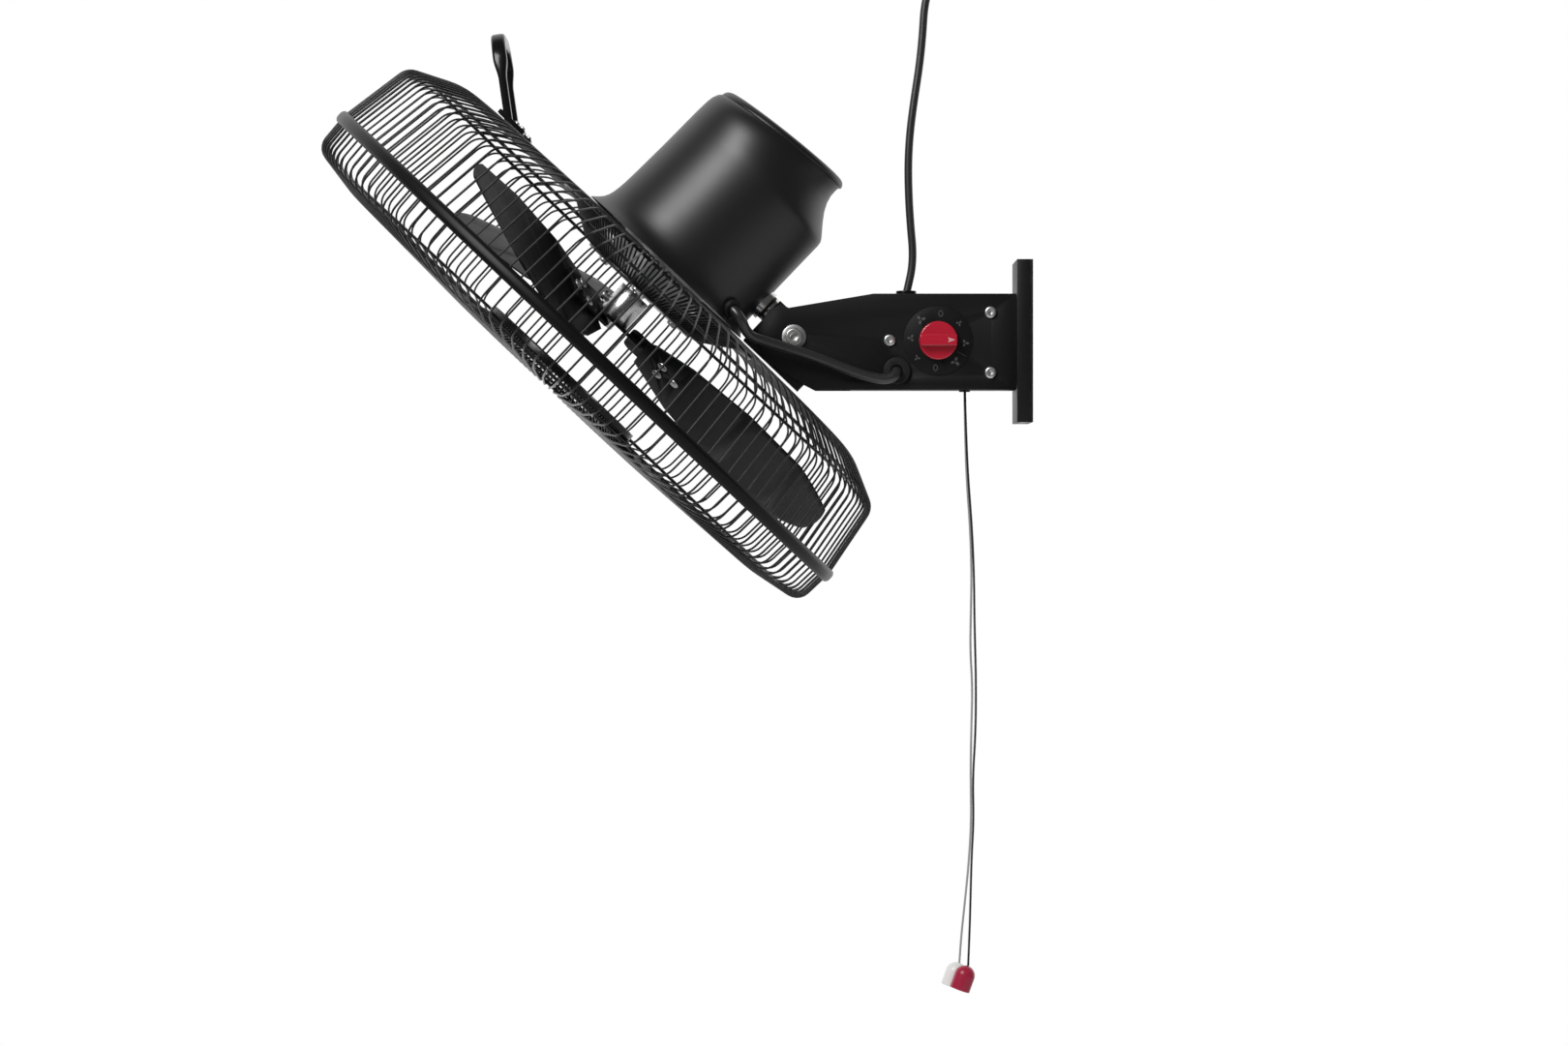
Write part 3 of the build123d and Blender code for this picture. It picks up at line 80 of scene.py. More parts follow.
# ---------------------------------------------------------------- frames of reference
@dataclass(frozen=True)
class HeadFrame:
    """The fan head's own axes: x to the side, u down the fan's face, z back along its shaft."""

    matrix: Matrix

    @classmethod
    def from_joints(cls, joints: dict[str, dict]) -> "HeadFrame":
        """Take the axes from the joints.

        Args:
            joints: The fan's joints by name, with their axes and places.

        Returns:
            The head's frame at rest.
        """
        back = Vector(joints["fan_spin"]["axis"]).normalized()
        down = Vector(joints["head_swing"]["axis"]).normalized()
        turn = Matrix((down.cross(back), down, back)).transposed().to_4x4()
        return cls(Matrix.Translation(joints["fan_spin"]["pos_m"]) @ turn)

    def point(self, x: float, u: float, z: float) -> Vector:
        """Return a point of the head in the fan's main frame."""
        return self.matrix @ Vector((x, u, z))

    def along_shaft(self, place: Place) -> float:
        """Return how far back along the shaft a place of the main frame lies."""
        return (self.matrix.inverted() @ Vector(place)).z


JOINTS = {joint["name"]: joint for joint in frame["joints"]}
HEAD = HeadFrame.from_joints(JOINTS)


# ---------------------------------------------------------------- node trees
@dataclass
class NodeSheet:
    """A node tree with short ways to add and join its nodes."""

    tree: bpy.types.NodeTree

    def add(self, kind: str, settings: dict | None = None, **inputs: object) -> bpy.types.Node:
        """Add a node.

        Args:
            kind: The node's type.
            settings: Its properties.
            **inputs: Values or sockets for its inputs, with _ for a blank in the name.

        Returns:
            The new node.
        """
        node = self.tree.nodes.new(kind)
        for key, value in (settings or {}).items():
            setattr(node, key, value)
        for key, value in inputs.items():
            self.feed(node.inputs[key.replace("_", " ")], value)
        return node

    def feed(self, socket: bpy.types.NodeSocket, value: object) -> None:
        """Give an input socket a value, or join another node's output to it."""
        if isinstance(value, bpy.types.NodeSocket):
            self.tree.links.new(value, socket)
        else:
            socket.default_value = value

    def maths(self, operation: str, first: object, second: object = 0.0) -> bpy.types.NodeSocket:
        """Return the result of a sum on two values."""
        node = self.tree.nodes.new("ShaderNodeMath")
        node.operation = operation
        self.feed(node.inputs[0], first)
        self.feed(node.inputs[1], second)
        return node.outputs[0]

    def mixed(self, share: object, first: object, second: object) -> bpy.types.NodeSocket:
        """Return a colour between two colours."""
        node = self.tree.nodes.new("ShaderNodeMix")
        node.data_type = "RGBA"
        for index, value in ((0, share), (6, first), (7, second)):
            self.feed(node.inputs[index], value)
        return node.outputs[2]

    def remapped(self, value: object, low: float, high: float) -> bpy.types.NodeSocket:
        """Return a value stretched so that low becomes 0 and high becomes 1, with soft ends."""
        node = self.add("ShaderNodeMapRange", {"interpolation_type": "SMOOTHSTEP"},
                        Value=value, From_Min=low, From_Max=high)
        return node.outputs["Result"]

    def spot(self) -> bpy.types.NodeSocket:
        """Return the place on the piece, in its own coordinates."""
        return self.add("ShaderNodeTexCoord").outputs["Object"]

    def noise(self, spot: object, scale: object, detail: float, rough: float = 0.5
              ) -> bpy.types.NodeSocket:
        """Return a noise between 0 and 1."""
        return self.add("ShaderNodeTexNoise", Vector=spot, Scale=scale, Detail=detail,
                        Roughness=rough).outputs["Fac"]

    def close(self, result: bpy.types.Node, shape: bpy.types.NodeSocket,
              finish: bpy.types.NodeSocket) -> bpy.types.NodeTree:
        """End a geometry tree with real, smooth and finished geometry.

        Args:
            result: The tree's output node.
            shape: The geometry.
            finish: The material.

        Returns:
            The tree.
        """
        real = self.add("GeometryNodeRealizeInstances", Geometry=shape)
        soft = self.add("GeometryNodeSetShadeSmooth", Geometry=real.outputs["Geometry"])
        dressed = self.add("GeometryNodeSetMaterial", Geometry=soft.outputs["Geometry"],
                           Material=finish)
        self.feed(result.inputs["Geometry"], dressed.outputs["Geometry"])
        return self.tree


def new_group(name: str, kind: str, inputs: dict[str, str], outputs: dict[str, str]
              ) -> tuple[NodeSheet, bpy.types.Node, bpy.types.Node]:
    """Make an empty node group.

    Args:
        name: The group's name.
        kind: Its tree type.
        inputs: Socket names and types that go in.
        outputs: Socket names and types that come out.

    Returns:
        The sheet, its input node and its output node.
    """
    tree = bpy.data.node_groups.new(name, kind)
    for way, sockets in (("INPUT", inputs), ("OUTPUT", outputs)):
        for socket, socket_type in sockets.items():
            tree.interface.new_socket(socket, in_out=way, socket_type="NodeSocket" + socket_type)
    sheet = NodeSheet(tree)
    return sheet, sheet.add("NodeGroupInput"), sheet.add("NodeGroupOutput")


class Relief(Enum):
    """The fine surface shape of a finish."""

    GRAIN = "grain"
    TURNED = "turned lines"
    SHEETS = "stacked sheets"


@dataclass
class SharedPatterns:
    """The effects that several finishes use, each built once as a node group."""

    groups: dict[str, bpy.types.NodeTree] = field(default_factory=dict)

    def build(self) -> None:
        """Build every group."""
        self._grain()
        self._lines()
        self._painted_edge_light_and_rub_group()
        self._dust()

    def _grain(self) -> None:
        """Fine uneven relief, as on a powder coat or a moulding, with a broad colour mottle."""
        sheet, given, result = new_group("fine_grain", "ShaderNodeTree", {"Scale": "Float"},
                                         {"Height": "Float", "Mottle": "Float"})
        spot = sheet.spot()
        broad = sheet.noise(spot, 14.0, 3.0, 0.6)
        sheet.feed(result.inputs["Height"], sheet.noise(spot, given.outputs["Scale"], 4.0))
        sheet.feed(result.inputs["Mottle"], sheet.remapped(broad, 0.3, 0.7))
        self.groups["grain"] = sheet.tree

    def _lines(self) -> None:
        """Fine lines across one axis, as a lathe or a stack of sheets leaves them."""
        sheet, given, result = new_group("fine_lines", "ShaderNodeTree",
                                         {"Scale": "Float", "Vector": "Vector"},
                                         {"Height": "Float", "Mottle": "Float"})
        squeezed = sheet.add("ShaderNodeMapping", Vector=given.outputs["Vector"],
                             Scale=(0.02, 0.02, 1.0))
        noise = sheet.noise(squeezed.outputs["Vector"], given.outputs["Scale"], 2.0)
        sheet.feed(result.inputs["Height"], noise)
        sheet.feed(result.inputs["Mottle"], sheet.remapped(noise, 0.35, 0.65))
        self.groups["lines"] = sheet.tree

    def _painted_edge_light_and_rub_group(self) -> None:
        """Where the edges take a pale colour, broken up by a noise: partly a coat rubbed thin and partly a painted
        edge highlight.
        """
        sheet, given, result = new_group("painted_edge_light_and_rub_mask", "ShaderNodeTree",
                                         {"Width": "Float", "Amount": "Float"}, {"Mask": "Float"})
        # The Bevel node finds the edges that take pale colour: rubbed coat and a painted edge highlight.
        rounded = sheet.add("ShaderNodeBevel", {"samples": 4}, Radius=given.outputs["Width"])
        true = sheet.add("ShaderNodeNewGeometry")
        alike = sheet.add("ShaderNodeVectorMath", {"operation": "DOT_PRODUCT"})
        sheet.feed(alike.inputs[0], rounded.outputs["Normal"])
        sheet.feed(alike.inputs[1], true.outputs["Normal"])
        edge = sheet.remapped(sheet.maths("SUBTRACT", 1.0, alike.outputs["Value"]), 0.02, 0.2)
        noise = sheet.noise(sheet.spot(), 160.0, 5.0)
        broken = sheet.maths("MULTIPLY", edge, sheet.remapped(noise, 0.35, 0.65))
        sheet.feed(result.inputs["Mask"], sheet.maths("MULTIPLY", broken, given.outputs["Amount"]))
        self.groups["painted_edge_light_and_rub"] = sheet.tree

    def _dust(self) -> None:
        """A thin film of dust on what faces up."""
        sheet, given, result = new_group("dust", "ShaderNodeTree",
                                         {"Amount": "Float"}, {"Mask": "Float"})
        apart = sheet.add("ShaderNodeSeparateXYZ",
                          Vector=sheet.add("ShaderNodeNewGeometry").outputs["Normal"])
        noise = sheet.noise(sheet.spot(), 60.0, 6.0)
        up = sheet.remapped(apart.outputs["Z"], 0.3, 1.0)
        film = sheet.maths("MULTIPLY", up, sheet.remapped(noise, 0.3, 0.8))
        sheet.feed(result.inputs["Mask"], sheet.maths("MULTIPLY", film, given.outputs["Amount"]))
        self.groups["dust"] = sheet.tree


PATTERNS = SharedPatterns()


# ---------------------------------------------------------------- finishes
COAT_ROUGHNESS = 0.08
BUMP_SHARE = 0.6
# How far in from an edge the pale colour reaches: partly rubbed coat, partly a painted highlight.
PAINTED_EDGE_LIGHT_AND_RUB_WIDTH = 0.0008
DUST_COLOUR = (0.2, 0.19, 0.18, 1.0)


@dataclass(frozen=True)
class Finish:
    """How one kind of surface looks.

    Attributes:
        colour: Its base colour, linear.
        roughness: From mirror at 0 to matt at 1.
        metallic: 1 for bare metal.
        specular: The strength of the reflection of a plastic or a paint.
        coat: A clear layer on top.
        relief: The kind of fine relief.
        scale: How many features of the relief there are in a metre.
        depth: How deep the relief is.
        mottle: How much the colour and the gloss vary.
        painted_edge_light_and_rub: How much pale colour the edges take: partly rubbed coat,
            partly a painted highlight.
        painted_edge_light_and_rub_colour: The pale edge colour: partly the metal under the coat,
            partly a painted highlight.
        dust: How much dust lies on what faces up.
    """

    colour: Colour
    roughness: float
    metallic: float = 0.0
    specular: float = 0.5
    coat: float = 0.0
    relief: Relief = Relief.GRAIN
    scale: float = 900.0
    depth: float = 0.00004
    mottle: float = 0.12
    painted_edge_light_and_rub: float = 0.0
    # Pale grey on the edges: partly bare metal under a rubbed coat, partly a painted highlight.
    painted_edge_light_and_rub_colour: Colour = (0.16, 0.16, 0.165)
    dust: float = 0.0

    def build(self, name: str) -> bpy.types.Material:
        """Make the material.

        Args:
            name: Its name.

        Returns:
            The new material.
        """
        material = bpy.data.materials.new(name)
        material.use_nodes = True
        sheet = NodeSheet(material.node_tree)
        shader = sheet.tree.nodes["Principled BSDF"]
        for socket, value in (("Metallic", self.metallic), ("Specular IOR Level", self.specular),
                              ("Coat Weight", self.coat), ("Coat Roughness", COAT_ROUGHNESS)):
            shader.inputs[socket].default_value = value
        height, mottle = self._relief(sheet)
        colour = (*self.colour, 1.0)
        pale = tuple(min(1.0, c * (1 + self.mottle)) for c in self.colour) + (1.0,)
        base = sheet.mixed(mottle, colour, pale)
        rough = sheet.maths("MULTIPLY_ADD", mottle, self.mottle * self.roughness)
        rough.node.inputs[2].default_value = self.roughness * (1 - self.mottle / 2)
        # Mix pale grey into the edges: partly rubbed coat, partly a painted edge highlight.
        if self.painted_edge_light_and_rub:
            edge = self._group(sheet, "painted_edge_light_and_rub", Width=PAINTED_EDGE_LIGHT_AND_RUB_WIDTH, Amount=self.painted_edge_light_and_rub).outputs["Mask"]
            base = sheet.mixed(edge, base, (*self.painted_edge_light_and_rub_colour, 1.0))
        if self.dust:
            film = self._group(sheet, "dust", Amount=self.dust).outputs["Mask"]
            base = sheet.mixed(film, base, DUST_COLOUR)
            rough = sheet.maths("ADD", rough, film)
        sheet.feed(shader.inputs["Base Color"], base)
        sheet.feed(shader.inputs["Roughness"], rough)
        bump = sheet.add("ShaderNodeBump", Height=height, Distance=self.depth, Strength=BUMP_SHARE)
        sheet.feed(shader.inputs["Normal"], bump.outputs["Normal"])
        return material

    def _relief(self, sheet: NodeSheet) -> tuple[bpy.types.NodeSocket, bpy.types.NodeSocket]:
        """Place the relief's group and return its height and its mottle."""
        if self.relief in (Relief.TURNED, Relief.SHEETS):
            lie = HEAD.matrix.to_3x3().inverted().to_euler()
            along = sheet.add("ShaderNodeMapping", Vector=sheet.spot(), Rotation=lie)
            node = self._group(sheet, "lines", Scale=self.scale, Vector=along.outputs["Vector"])
        else:
            node = self._group(sheet, "grain", Scale=self.scale)
        return node.outputs["Height"], node.outputs["Mottle"]

    @staticmethod
    def _group(sheet: NodeSheet, name: str, **inputs: object) -> bpy.types.Node:
        """Place a shared pattern's group in a material."""
        node = sheet.tree.nodes.new("ShaderNodeGroup")
        node.node_tree = PATTERNS.groups[name]
        for key, value in inputs.items():
            sheet.feed(node.inputs[key], value)
        return node


FINISHES: dict[str, Finish] = {
    # arm_paint and blade_paint take pale edges: rubbed coat and a painted edge highlight.
    "arm_paint": Finish((0.006, 0.006, 0.0065), 0.42, specular=0.35, depth=0.00006, painted_edge_light_and_rub=0.25,
                        dust=0.02),
    "zinc_steel": Finish((0.88, 0.88, 0.87), 0.34, metallic=1.0, scale=400.0, depth=0.00002),
    "turned_steel": Finish((0.72, 0.72, 0.73), 0.22, metallic=1.0, relief=Relief.TURNED,
                           scale=2500.0, depth=0.00001),
    "bronze": Finish((0.09, 0.065, 0.045), 0.55, metallic=1.0, scale=1500.0),
    "cast_aluminium": Finish((0.5, 0.5, 0.51), 0.45, metallic=1.0, scale=500.0, depth=0.0001),
    "lamination": Finish((0.3, 0.31, 0.33), 0.4, metallic=1.0, relief=Relief.SHEETS, scale=2000.0,
                         depth=0.0001),
    "copper": Finish((0.6, 0.27, 0.12), 0.35, metallic=1.0, relief=Relief.SHEETS, scale=1200.0,
                     depth=0.0003),
    "housing_plastic": Finish((0.0045, 0.0045, 0.0048), 0.42, specular=0.8, scale=1600.0,
                              depth=0.00002, mottle=0.06, dust=0.01),
    "black_plastic": Finish((0.008, 0.008, 0.0085), 0.5, specular=0.3, scale=1200.0,
                            depth=0.00005),
    "gloss_black_plastic": Finish((0.005, 0.005, 0.0053), 0.2, specular=0.4, scale=300.0,
                                  depth=0.00002, mottle=0.05),
    "dial_print": Finish((0.006, 0.006, 0.0065), 0.4, specular=0.3, scale=1500.0,
                         depth=0.00002),
    "knob_red": Finish((0.46, 0.01, 0.03), 0.16, coat=0.6, scale=200.0, depth=0.00002,
                       mottle=0.08),
    "pull_red": Finish((0.36, 0.012, 0.045), 0.3, scale=300.0, depth=0.00002, mottle=0.1),
    "pull_white": Finish((0.82, 0.81, 0.79), 0.3, scale=300.0, depth=0.00002, mottle=0.04),
    "rubber": Finish((0.008, 0.008, 0.008), 0.6, specular=0.35, scale=800.0, depth=0.00008),
    "cable_sheath": Finish((0.018, 0.018, 0.019), 0.34, specular=1.0, scale=700.0,
                           depth=0.00003),
    "black_braid": Finish((0.012, 0.012, 0.0125), 0.75, specular=0.25, scale=3000.0,
                          depth=0.0002, mottle=0.4),
    "grey_braid": Finish((0.36, 0.36, 0.37), 0.75, specular=0.25, scale=3000.0, depth=0.0002,
                         mottle=0.25),
    "guard_paint": Finish((0.007, 0.007, 0.0073), 0.3, scale=500.0, depth=0.00002, dust=0.02),
    "clamp_paint": Finish((0.004, 0.004, 0.0043), 0.38, specular=0.22, scale=300.0,
                          depth=0.00002, mottle=0.06),
    "blade_paint": Finish((0.003, 0.003, 0.0033), 0.45, specular=0.1, scale=700.0,
                          depth=0.00004, painted_edge_light_and_rub=0.25, dust=0.02),
    "print_grey": Finish((0.07, 0.07, 0.072), 0.5, scale=900.0),
    "pointer_pale": Finish((0.6, 0.3, 0.3), 0.4, scale=600.0),
}


# ---------------------------------------------------------------- mesh work
@dataclass
class Workshop:
    """Makes objects from meshes, finishes them and sets them on their bodies."""

    materials: dict[str, bpy.types.Material] = field(default_factory=dict)
    slots: dict[str, str] = field(default_factory=dict)
    bodies: dict[str, str] = field(default_factory=dict)

    def open(self) -> None:
        """Build the materials and learn each node's slot and body."""
        PATTERNS.build()
        self.materials = {name: finish.build(name) for name, finish in FINISHES.items()}
        self.slots = {part["node"]: part["material_slot"] for part in frame["record"]["subparts"]}
        for body, members in frame["record"]["behaviour"]["bodies"].items():
            self.bodies.update({node: body for node in members})

    def thing(self, name: str, mesh: bpy.types.Mesh) -> bpy.types.Object:
        """Put a mesh in the scene as an object at the origin."""
        item = bpy.data.objects.new(name, mesh)
        bpy.context.scene.collection.objects.link(item)
        return item

    def shaped(self, name: str, work: bmesh.types.BMesh, sharp: float = 32.0,
               within: Matrix | None = None) -> bpy.types.Object:
        """Turn mesh work into a smooth object.

        Args:
            name: The object's name.
            work: The mesh, which is freed.
            sharp: The angle in degrees from which an edge stays sharp.
            within: The frame that the mesh was drawn in.

        Returns:
            The new object.
        """
        bmesh.ops.recalc_face_normals(work, faces=work.faces)
        mesh = bpy.data.meshes.new(name)
        work.to_mesh(mesh)
        work.free()
        if within is not None:
            mesh.transform(within)
        self.smooth(mesh, sharp)
        return self.thing(name, mesh)

    @staticmethod
    def smooth(mesh: bpy.types.Mesh, sharp: float) -> None:
        """Shade a mesh smoothly, with sharp edges from an angle in degrees."""
        mesh.shade_smooth()
        mesh.set_sharp_from_angle(angle=radians(sharp))

    @staticmethod
    def frozen(item: bpy.types.Object) -> bpy.types.Mesh:
        """Return what an object's modifiers make of it as a plain mesh."""
        graph = bpy.context.evaluated_depsgraph_get()
        return bpy.data.meshes.new_from_object(item.evaluated_get(graph))

    def settle(self, item: bpy.types.Object, node: str, *others: str) -> bpy.types.Object:
        """Let a piece stand for a node: on its body, with its slot's material, and with the node hidden.

        Args:
            item: The finished piece.
            node: The node that gives the body and the slot.
            *others: More nodes that the piece stands for.

        Returns:
            The same piece.
        """
        slot = self.slots[node]
        if not item.data.materials:
            item.data.materials.append(self.materials[slot])
        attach(item, self.bodies[node])
        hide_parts(node, *others)
        LOG.info("%s stands for %s", item.name, ", ".join((node, *others)))
        return item

    def added(self, item: bpy.types.Object, body: str, finish: str
              ) -> bpy.types.Object:
        """Set a piece that stands for no node on its body.

        Args:
            item: The finished piece.
            body: The body that it rides on.
            finish: Its finish.

        Returns:
            The same piece.
        """
        item.data.materials.append(self.materials[finish])
        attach(item, body)
        LOG.info("%s is added", item.name)
        return item

    def blocks(self, name: str, size: Place, middles: Iterable[Place], edge: float,
               slot: str) -> None:
        """Add rounded blocks to the head as one piece.

        Args:
            name: The piece's name.
            size: The size of each block.
            middles: Their middles in the head's frame.
            edge: The width of their rounded edges.
            slot: Their material slot.
        """
        work = bmesh.new()
        for middle in middles:
            block = bmesh.ops.create_cube(work, size=1.0)["verts"]
            bmesh.ops.scale(work, vec=size, verts=block)
            bmesh.ops.translate(work, vec=middle, verts=block)
        bmesh.ops.bevel(work, geom=work.edges[:], offset=edge, segments=3, profile=0.6,
                        affect="EDGES")
        self.added(self.shaped(name, work, within=HEAD.matrix), "head", slot)

    def refined(self, node: str, edge: float = 0.0, segments: int = 2,
                sharp: float = 32.0) -> bpy.types.Object:
        """Copy a node with its corners broken and its curved faces smooth.

        Args:
            node: The node.
            edge: The width of the broken corners, or 0 for none.
            segments: How many faces make a corner.
            sharp: The angle in degrees from which an edge stays sharp.

        Returns:
            The piece that stands for the node.
        """
        work = bmesh.new()
        work.from_mesh(frame["nodes"][node].data)
        bmesh.ops.remove_doubles(work, verts=work.verts, dist=2e-6)
        bmesh.ops.dissolve_limit(work, angle_limit=radians(0.5), verts=work.verts,
                                 edges=work.edges)
        mesh = bpy.data.meshes.new(node + "_piece")
        work.to_mesh(mesh)
        work.free()
        spare = [a.name for a in mesh.attributes if a.name == "custom_normal"]
        for name in spare:
            mesh.attributes.remove(mesh.attributes[name])
        item = self.thing(node + "_piece", mesh)
        if edge:
            bevel = item.modifiers.new("edges", "BEVEL")
            bevel.width, bevel.segments = edge, segments
            bevel.limit_method, bevel.angle_limit = "ANGLE", radians(sharp)
            bevel.harden_normals = False
            item.data = self.frozen(item)
            item.modifiers.clear()
        self.smooth(item.data, sharp)
        return self.settle(item, node)

    def lathed(self, name: str, outlines: Sequence[Outline], steps: int,
               within: Matrix) -> bpy.types.Object:
        """Turn closed outlines of radius and height about the Z axis.

        Args:
            name: The object's name.
            outlines: One or more outlines, with points as radius and height.
            steps: How many steps make the full turn.
            within: The frame that holds the axis.

        Returns:
            The turned object.
        """
        work = bmesh.new()
        turns = [2 * pi * n / steps for n in range(steps)]
        for outline in outlines:
            rings = [[work.verts.new((r * cos(a), r * sin(a), z)) for r, z in outline]
                     for a in turns]
            self.skin(work, rings, closed=True)
        return self.shaped(name, work, within=within)

    def lofted(self, name: str, rings: Sequence[Sequence[Vector]],
               sharp: float = 40.0) -> bpy.types.Object:
        """Skin a row of rings and close both ends."""
        work = bmesh.new()
        loops = [[work.verts.new(point) for point in ring] for ring in rings]
        self.skin(work, loops, closed=False)
        for ring in (loops[0], loops[-1]):
            work.faces.new(ring)
        return self.shaped(name, work, sharp)

    @staticmethod
    def skin(work: bmesh.types.BMesh, rings: list[list[bmesh.types.BMVert]],
             closed: bool) -> None:
        """Join each ring of points to the next with quads."""
        pairs = list(zip(rings, rings[1:]))
        if closed:
            pairs.append((rings[-1], rings[0]))
        for one, two in pairs:
            for a in range(len(one)):
                b = (a + 1) % len(one)
                work.faces.new((one[a], one[b], two[b], two[a]))


SHOP = Workshop()


@dataclass
class GrownPiece:
    """A piece that a geometry node tree grows from a line of points."""

    name: str
    tree: bpy.types.NodeTree
    values: dict[str, object]

    def grow(self, line: Sequence[Vector], within: Matrix | None = None) -> bpy.types.Object:
        """Run the tree on a line and keep the result as a plain mesh.

        Args:
            line: The points that the tree starts from.
            within: The frame that the points are drawn in.

        Returns:
            The grown object.
        """
        mesh = bpy.data.meshes.new(self.name + "_line")
        mesh.from_pydata([tuple(p) for p in line], [(n, n + 1) for n in range(len(line) - 1)], [])
        seed = SHOP.thing(self.name + "_line", mesh)
        modifier = seed.modifiers.new("grow", "NODES")
        modifier.node_group = self.tree
        for item in self.tree.interface.items_tree:
            if item.item_type == "SOCKET" and item.name in self.values:
                modifier[item.identifier] = self.values[item.name]
        grown = SHOP.frozen(seed)
        bpy.data.objects.remove(seed)
        grown.name = self.name
        if within is not None:
            grown.transform(within)
        return SHOP.thing(self.name, grown)


def rounded_line(points: Outline, bends: Sequence[float], steps: int = 5) -> list[Vector]:
    """Round the corners of a wire's side shape.

    Args:
        points: Corners as radius and height.
        bends: The bend radius at each inner corner.
        steps: How many pieces make each bend.

    Returns:
        The points of the wire in its own plane.
    """
    corners = [Vector((r, 0.0, z)) for r, z in points]
    line = [corners[0]]
    for before, corner, after, bend in zip(corners, corners[1:], corners[2:], bends):
        back, on = (before - corner).normalized(), (after - corner).normalized()
        half = back.angle(on) / 2
        centre = corner + (back + on).normalized() * bend / sin(half)
        reach = bend / tan(half)
        first, last = corner + back * reach - centre, corner + on * reach - centre
        line += [centre + first.slerp(last, n / steps) * bend / first.slerp(last, n / steps).length
                 for n in range(steps + 1)]
    return [*line, corners[-1]]


# ---------------------------------------------------------------- the guards
@dataclass
class Guards:
    """The rear and front wire guards, the band that clamps them and the front disc."""

    wires: int = 135
    wire_radius: float = 0.0009
    wire_sides: int = 8
    half_step: float = 0.5
    rim_radius: float = 0.276
    rim_thick: float = 0.0021
    rim_gap: float = 0.0002
    ring_thick: float = 0.0015
    rear: Outline = ((0.276, 0.0045), (0.2658, 0.066), (0.222, 0.087), (0.127, 0.0902),
                     (0.098, 0.0895), (0.063, 0.06695), (0.048, 0.06695))
    rear_bends: Sequence[float] = (0.015, 0.060, 0.100, 0.008, 0.008)
    front: Outline = ((0.276, -0.0045), (0.2744, -0.032), (0.229, -0.0398), (0.112, -0.0444),
                      (0.099, -0.0436), (0.082, -0.0342), (0.070, -0.0342))
    front_bends: Sequence[float] = (0.013, 0.080, 0.060, 0.008, 0.008)
    inner_rings: Outline = ((0.2486, 0.0715), (0.1053, 0.0872), (0.2508, -0.0336),
                            (0.1166, -0.0418))
    clamp_radius: float = 0.2806
    clamp_half: float = 0.0056
    clamp_thick: float = 0.0032
    clamp_curl: float = 0.0007
    clamp_hem: float = 0.0006
    clamp_hollow: float = 0.0016
    crown_steps: int = 6
    crown_power: float = 3.2
    crown_share: float = 0.75
    ear_size: Place = (0.011, 0.0025, 0.0092)
    ear_out: float = 0.0045
    ear_apart: float = 0.00225
    ear_edge: float = 0.0008
    disc_radius: float = 0.0795
    disc_back: float = -0.0267
    disc_thick: float = 0.0065
    disc_edge: float = 0.0018
    disc_wall: float = 0.002
    disc_step: float = 0.006
    disc_middle: float = 0.0002
    disc_lip: Outline = ((0.0, 0.0), (0.0015, 0.0), (0.0022, 0.004))

    def build(self) -> None:
        """Build all that stays still around the blades."""
        tree = self._tree()
        values = {"Wire Count": self.wires, "Wire Radius": self.wire_radius,
                  "Wire Sides": self.wire_sides, "Phase": self.half_step,
                  "Coat": SHOP.materials["guard_paint"]}
        for name, line, bends in (("rear_guard", self.rear, self.rear_bends),
                                  ("front_guard", self.front, self.front_bends)):
            grown = GrownPiece(name + "_wires", tree, values)
            SHOP.settle(grown.grow(rounded_line(line, bends), HEAD.matrix), name)
        self._rings()
        self._clamp()
        self._disc()
        SHOP.refined("guard_plate", edge=0.0004)
        SHOP.refined("guard_screws", edge=0.0002)

    def _tree(self) -> bpy.types.NodeTree:
        """Build the tree that turns one wire's shape into all the wires of a guard."""
        sheet, given, result = new_group(
            "wire_guard", "GeometryNodeTree",
            {"Geometry": "Geometry", "Wire Count": "Int", "Wire Radius": "Float",
             "Wire Sides": "Int", "Phase": "Float", "Coat": "Material"}, {"Geometry": "Geometry"})
        line = sheet.add("GeometryNodeMeshToCurve", Mesh=given.outputs["Geometry"])
        section = sheet.add("GeometryNodeCurvePrimitiveCircle",
                            Resolution=given.outputs["Wire Sides"],
                            Radius=given.outputs["Wire Radius"])
        wire = sheet.add("GeometryNodeCurveToMesh", Curve=line.outputs["Curve"],
                         Profile_Curve=section.outputs["Curve"], Fill_Caps=True)
        spots = sheet.add("GeometryNodeMeshLine", Count=given.outputs["Wire Count"],
                          Offset=(0.0, 0.0, 0.0))
        index = sheet.add("GeometryNodeInputIndex").outputs["Index"]
        step = sheet.maths("DIVIDE", sheet.maths("ADD", index, given.outputs["Phase"]),
                           given.outputs["Wire Count"])
        turn = sheet.add("ShaderNodeCombineXYZ", Z=sheet.maths("MULTIPLY", step, 2 * pi))
        wires = sheet.add("GeometryNodeInstanceOnPoints", Points=spots.outputs["Mesh"],
                          Instance=wire.outputs["Mesh"], Rotation=turn.outputs["Vector"])
        return sheet.close(result, wires.outputs["Instances"], given.outputs["Coat"])

    def _rings(self) -> None:
        """Turn both rims and the rings inside the wires as round bars."""
        bars = [(self.rim_radius, side * (self.rim_thick + self.rim_gap), self.rim_thick)
                for side in (-1, 1)]
        bars += [(radius, height, self.ring_thick) for radius, height in self.inner_rings]
        turns = [2 * pi * n / 10 for n in range(10)]
        outlines = [[(r + thick * cos(a), z + thick * sin(a)) for a in turns]
                    for r, z, thick in bars]
        rings = SHOP.lathed("guard_ring_bars", outlines, 216, HEAD.matrix)
        SHOP.settle(rings, "guard_rings")

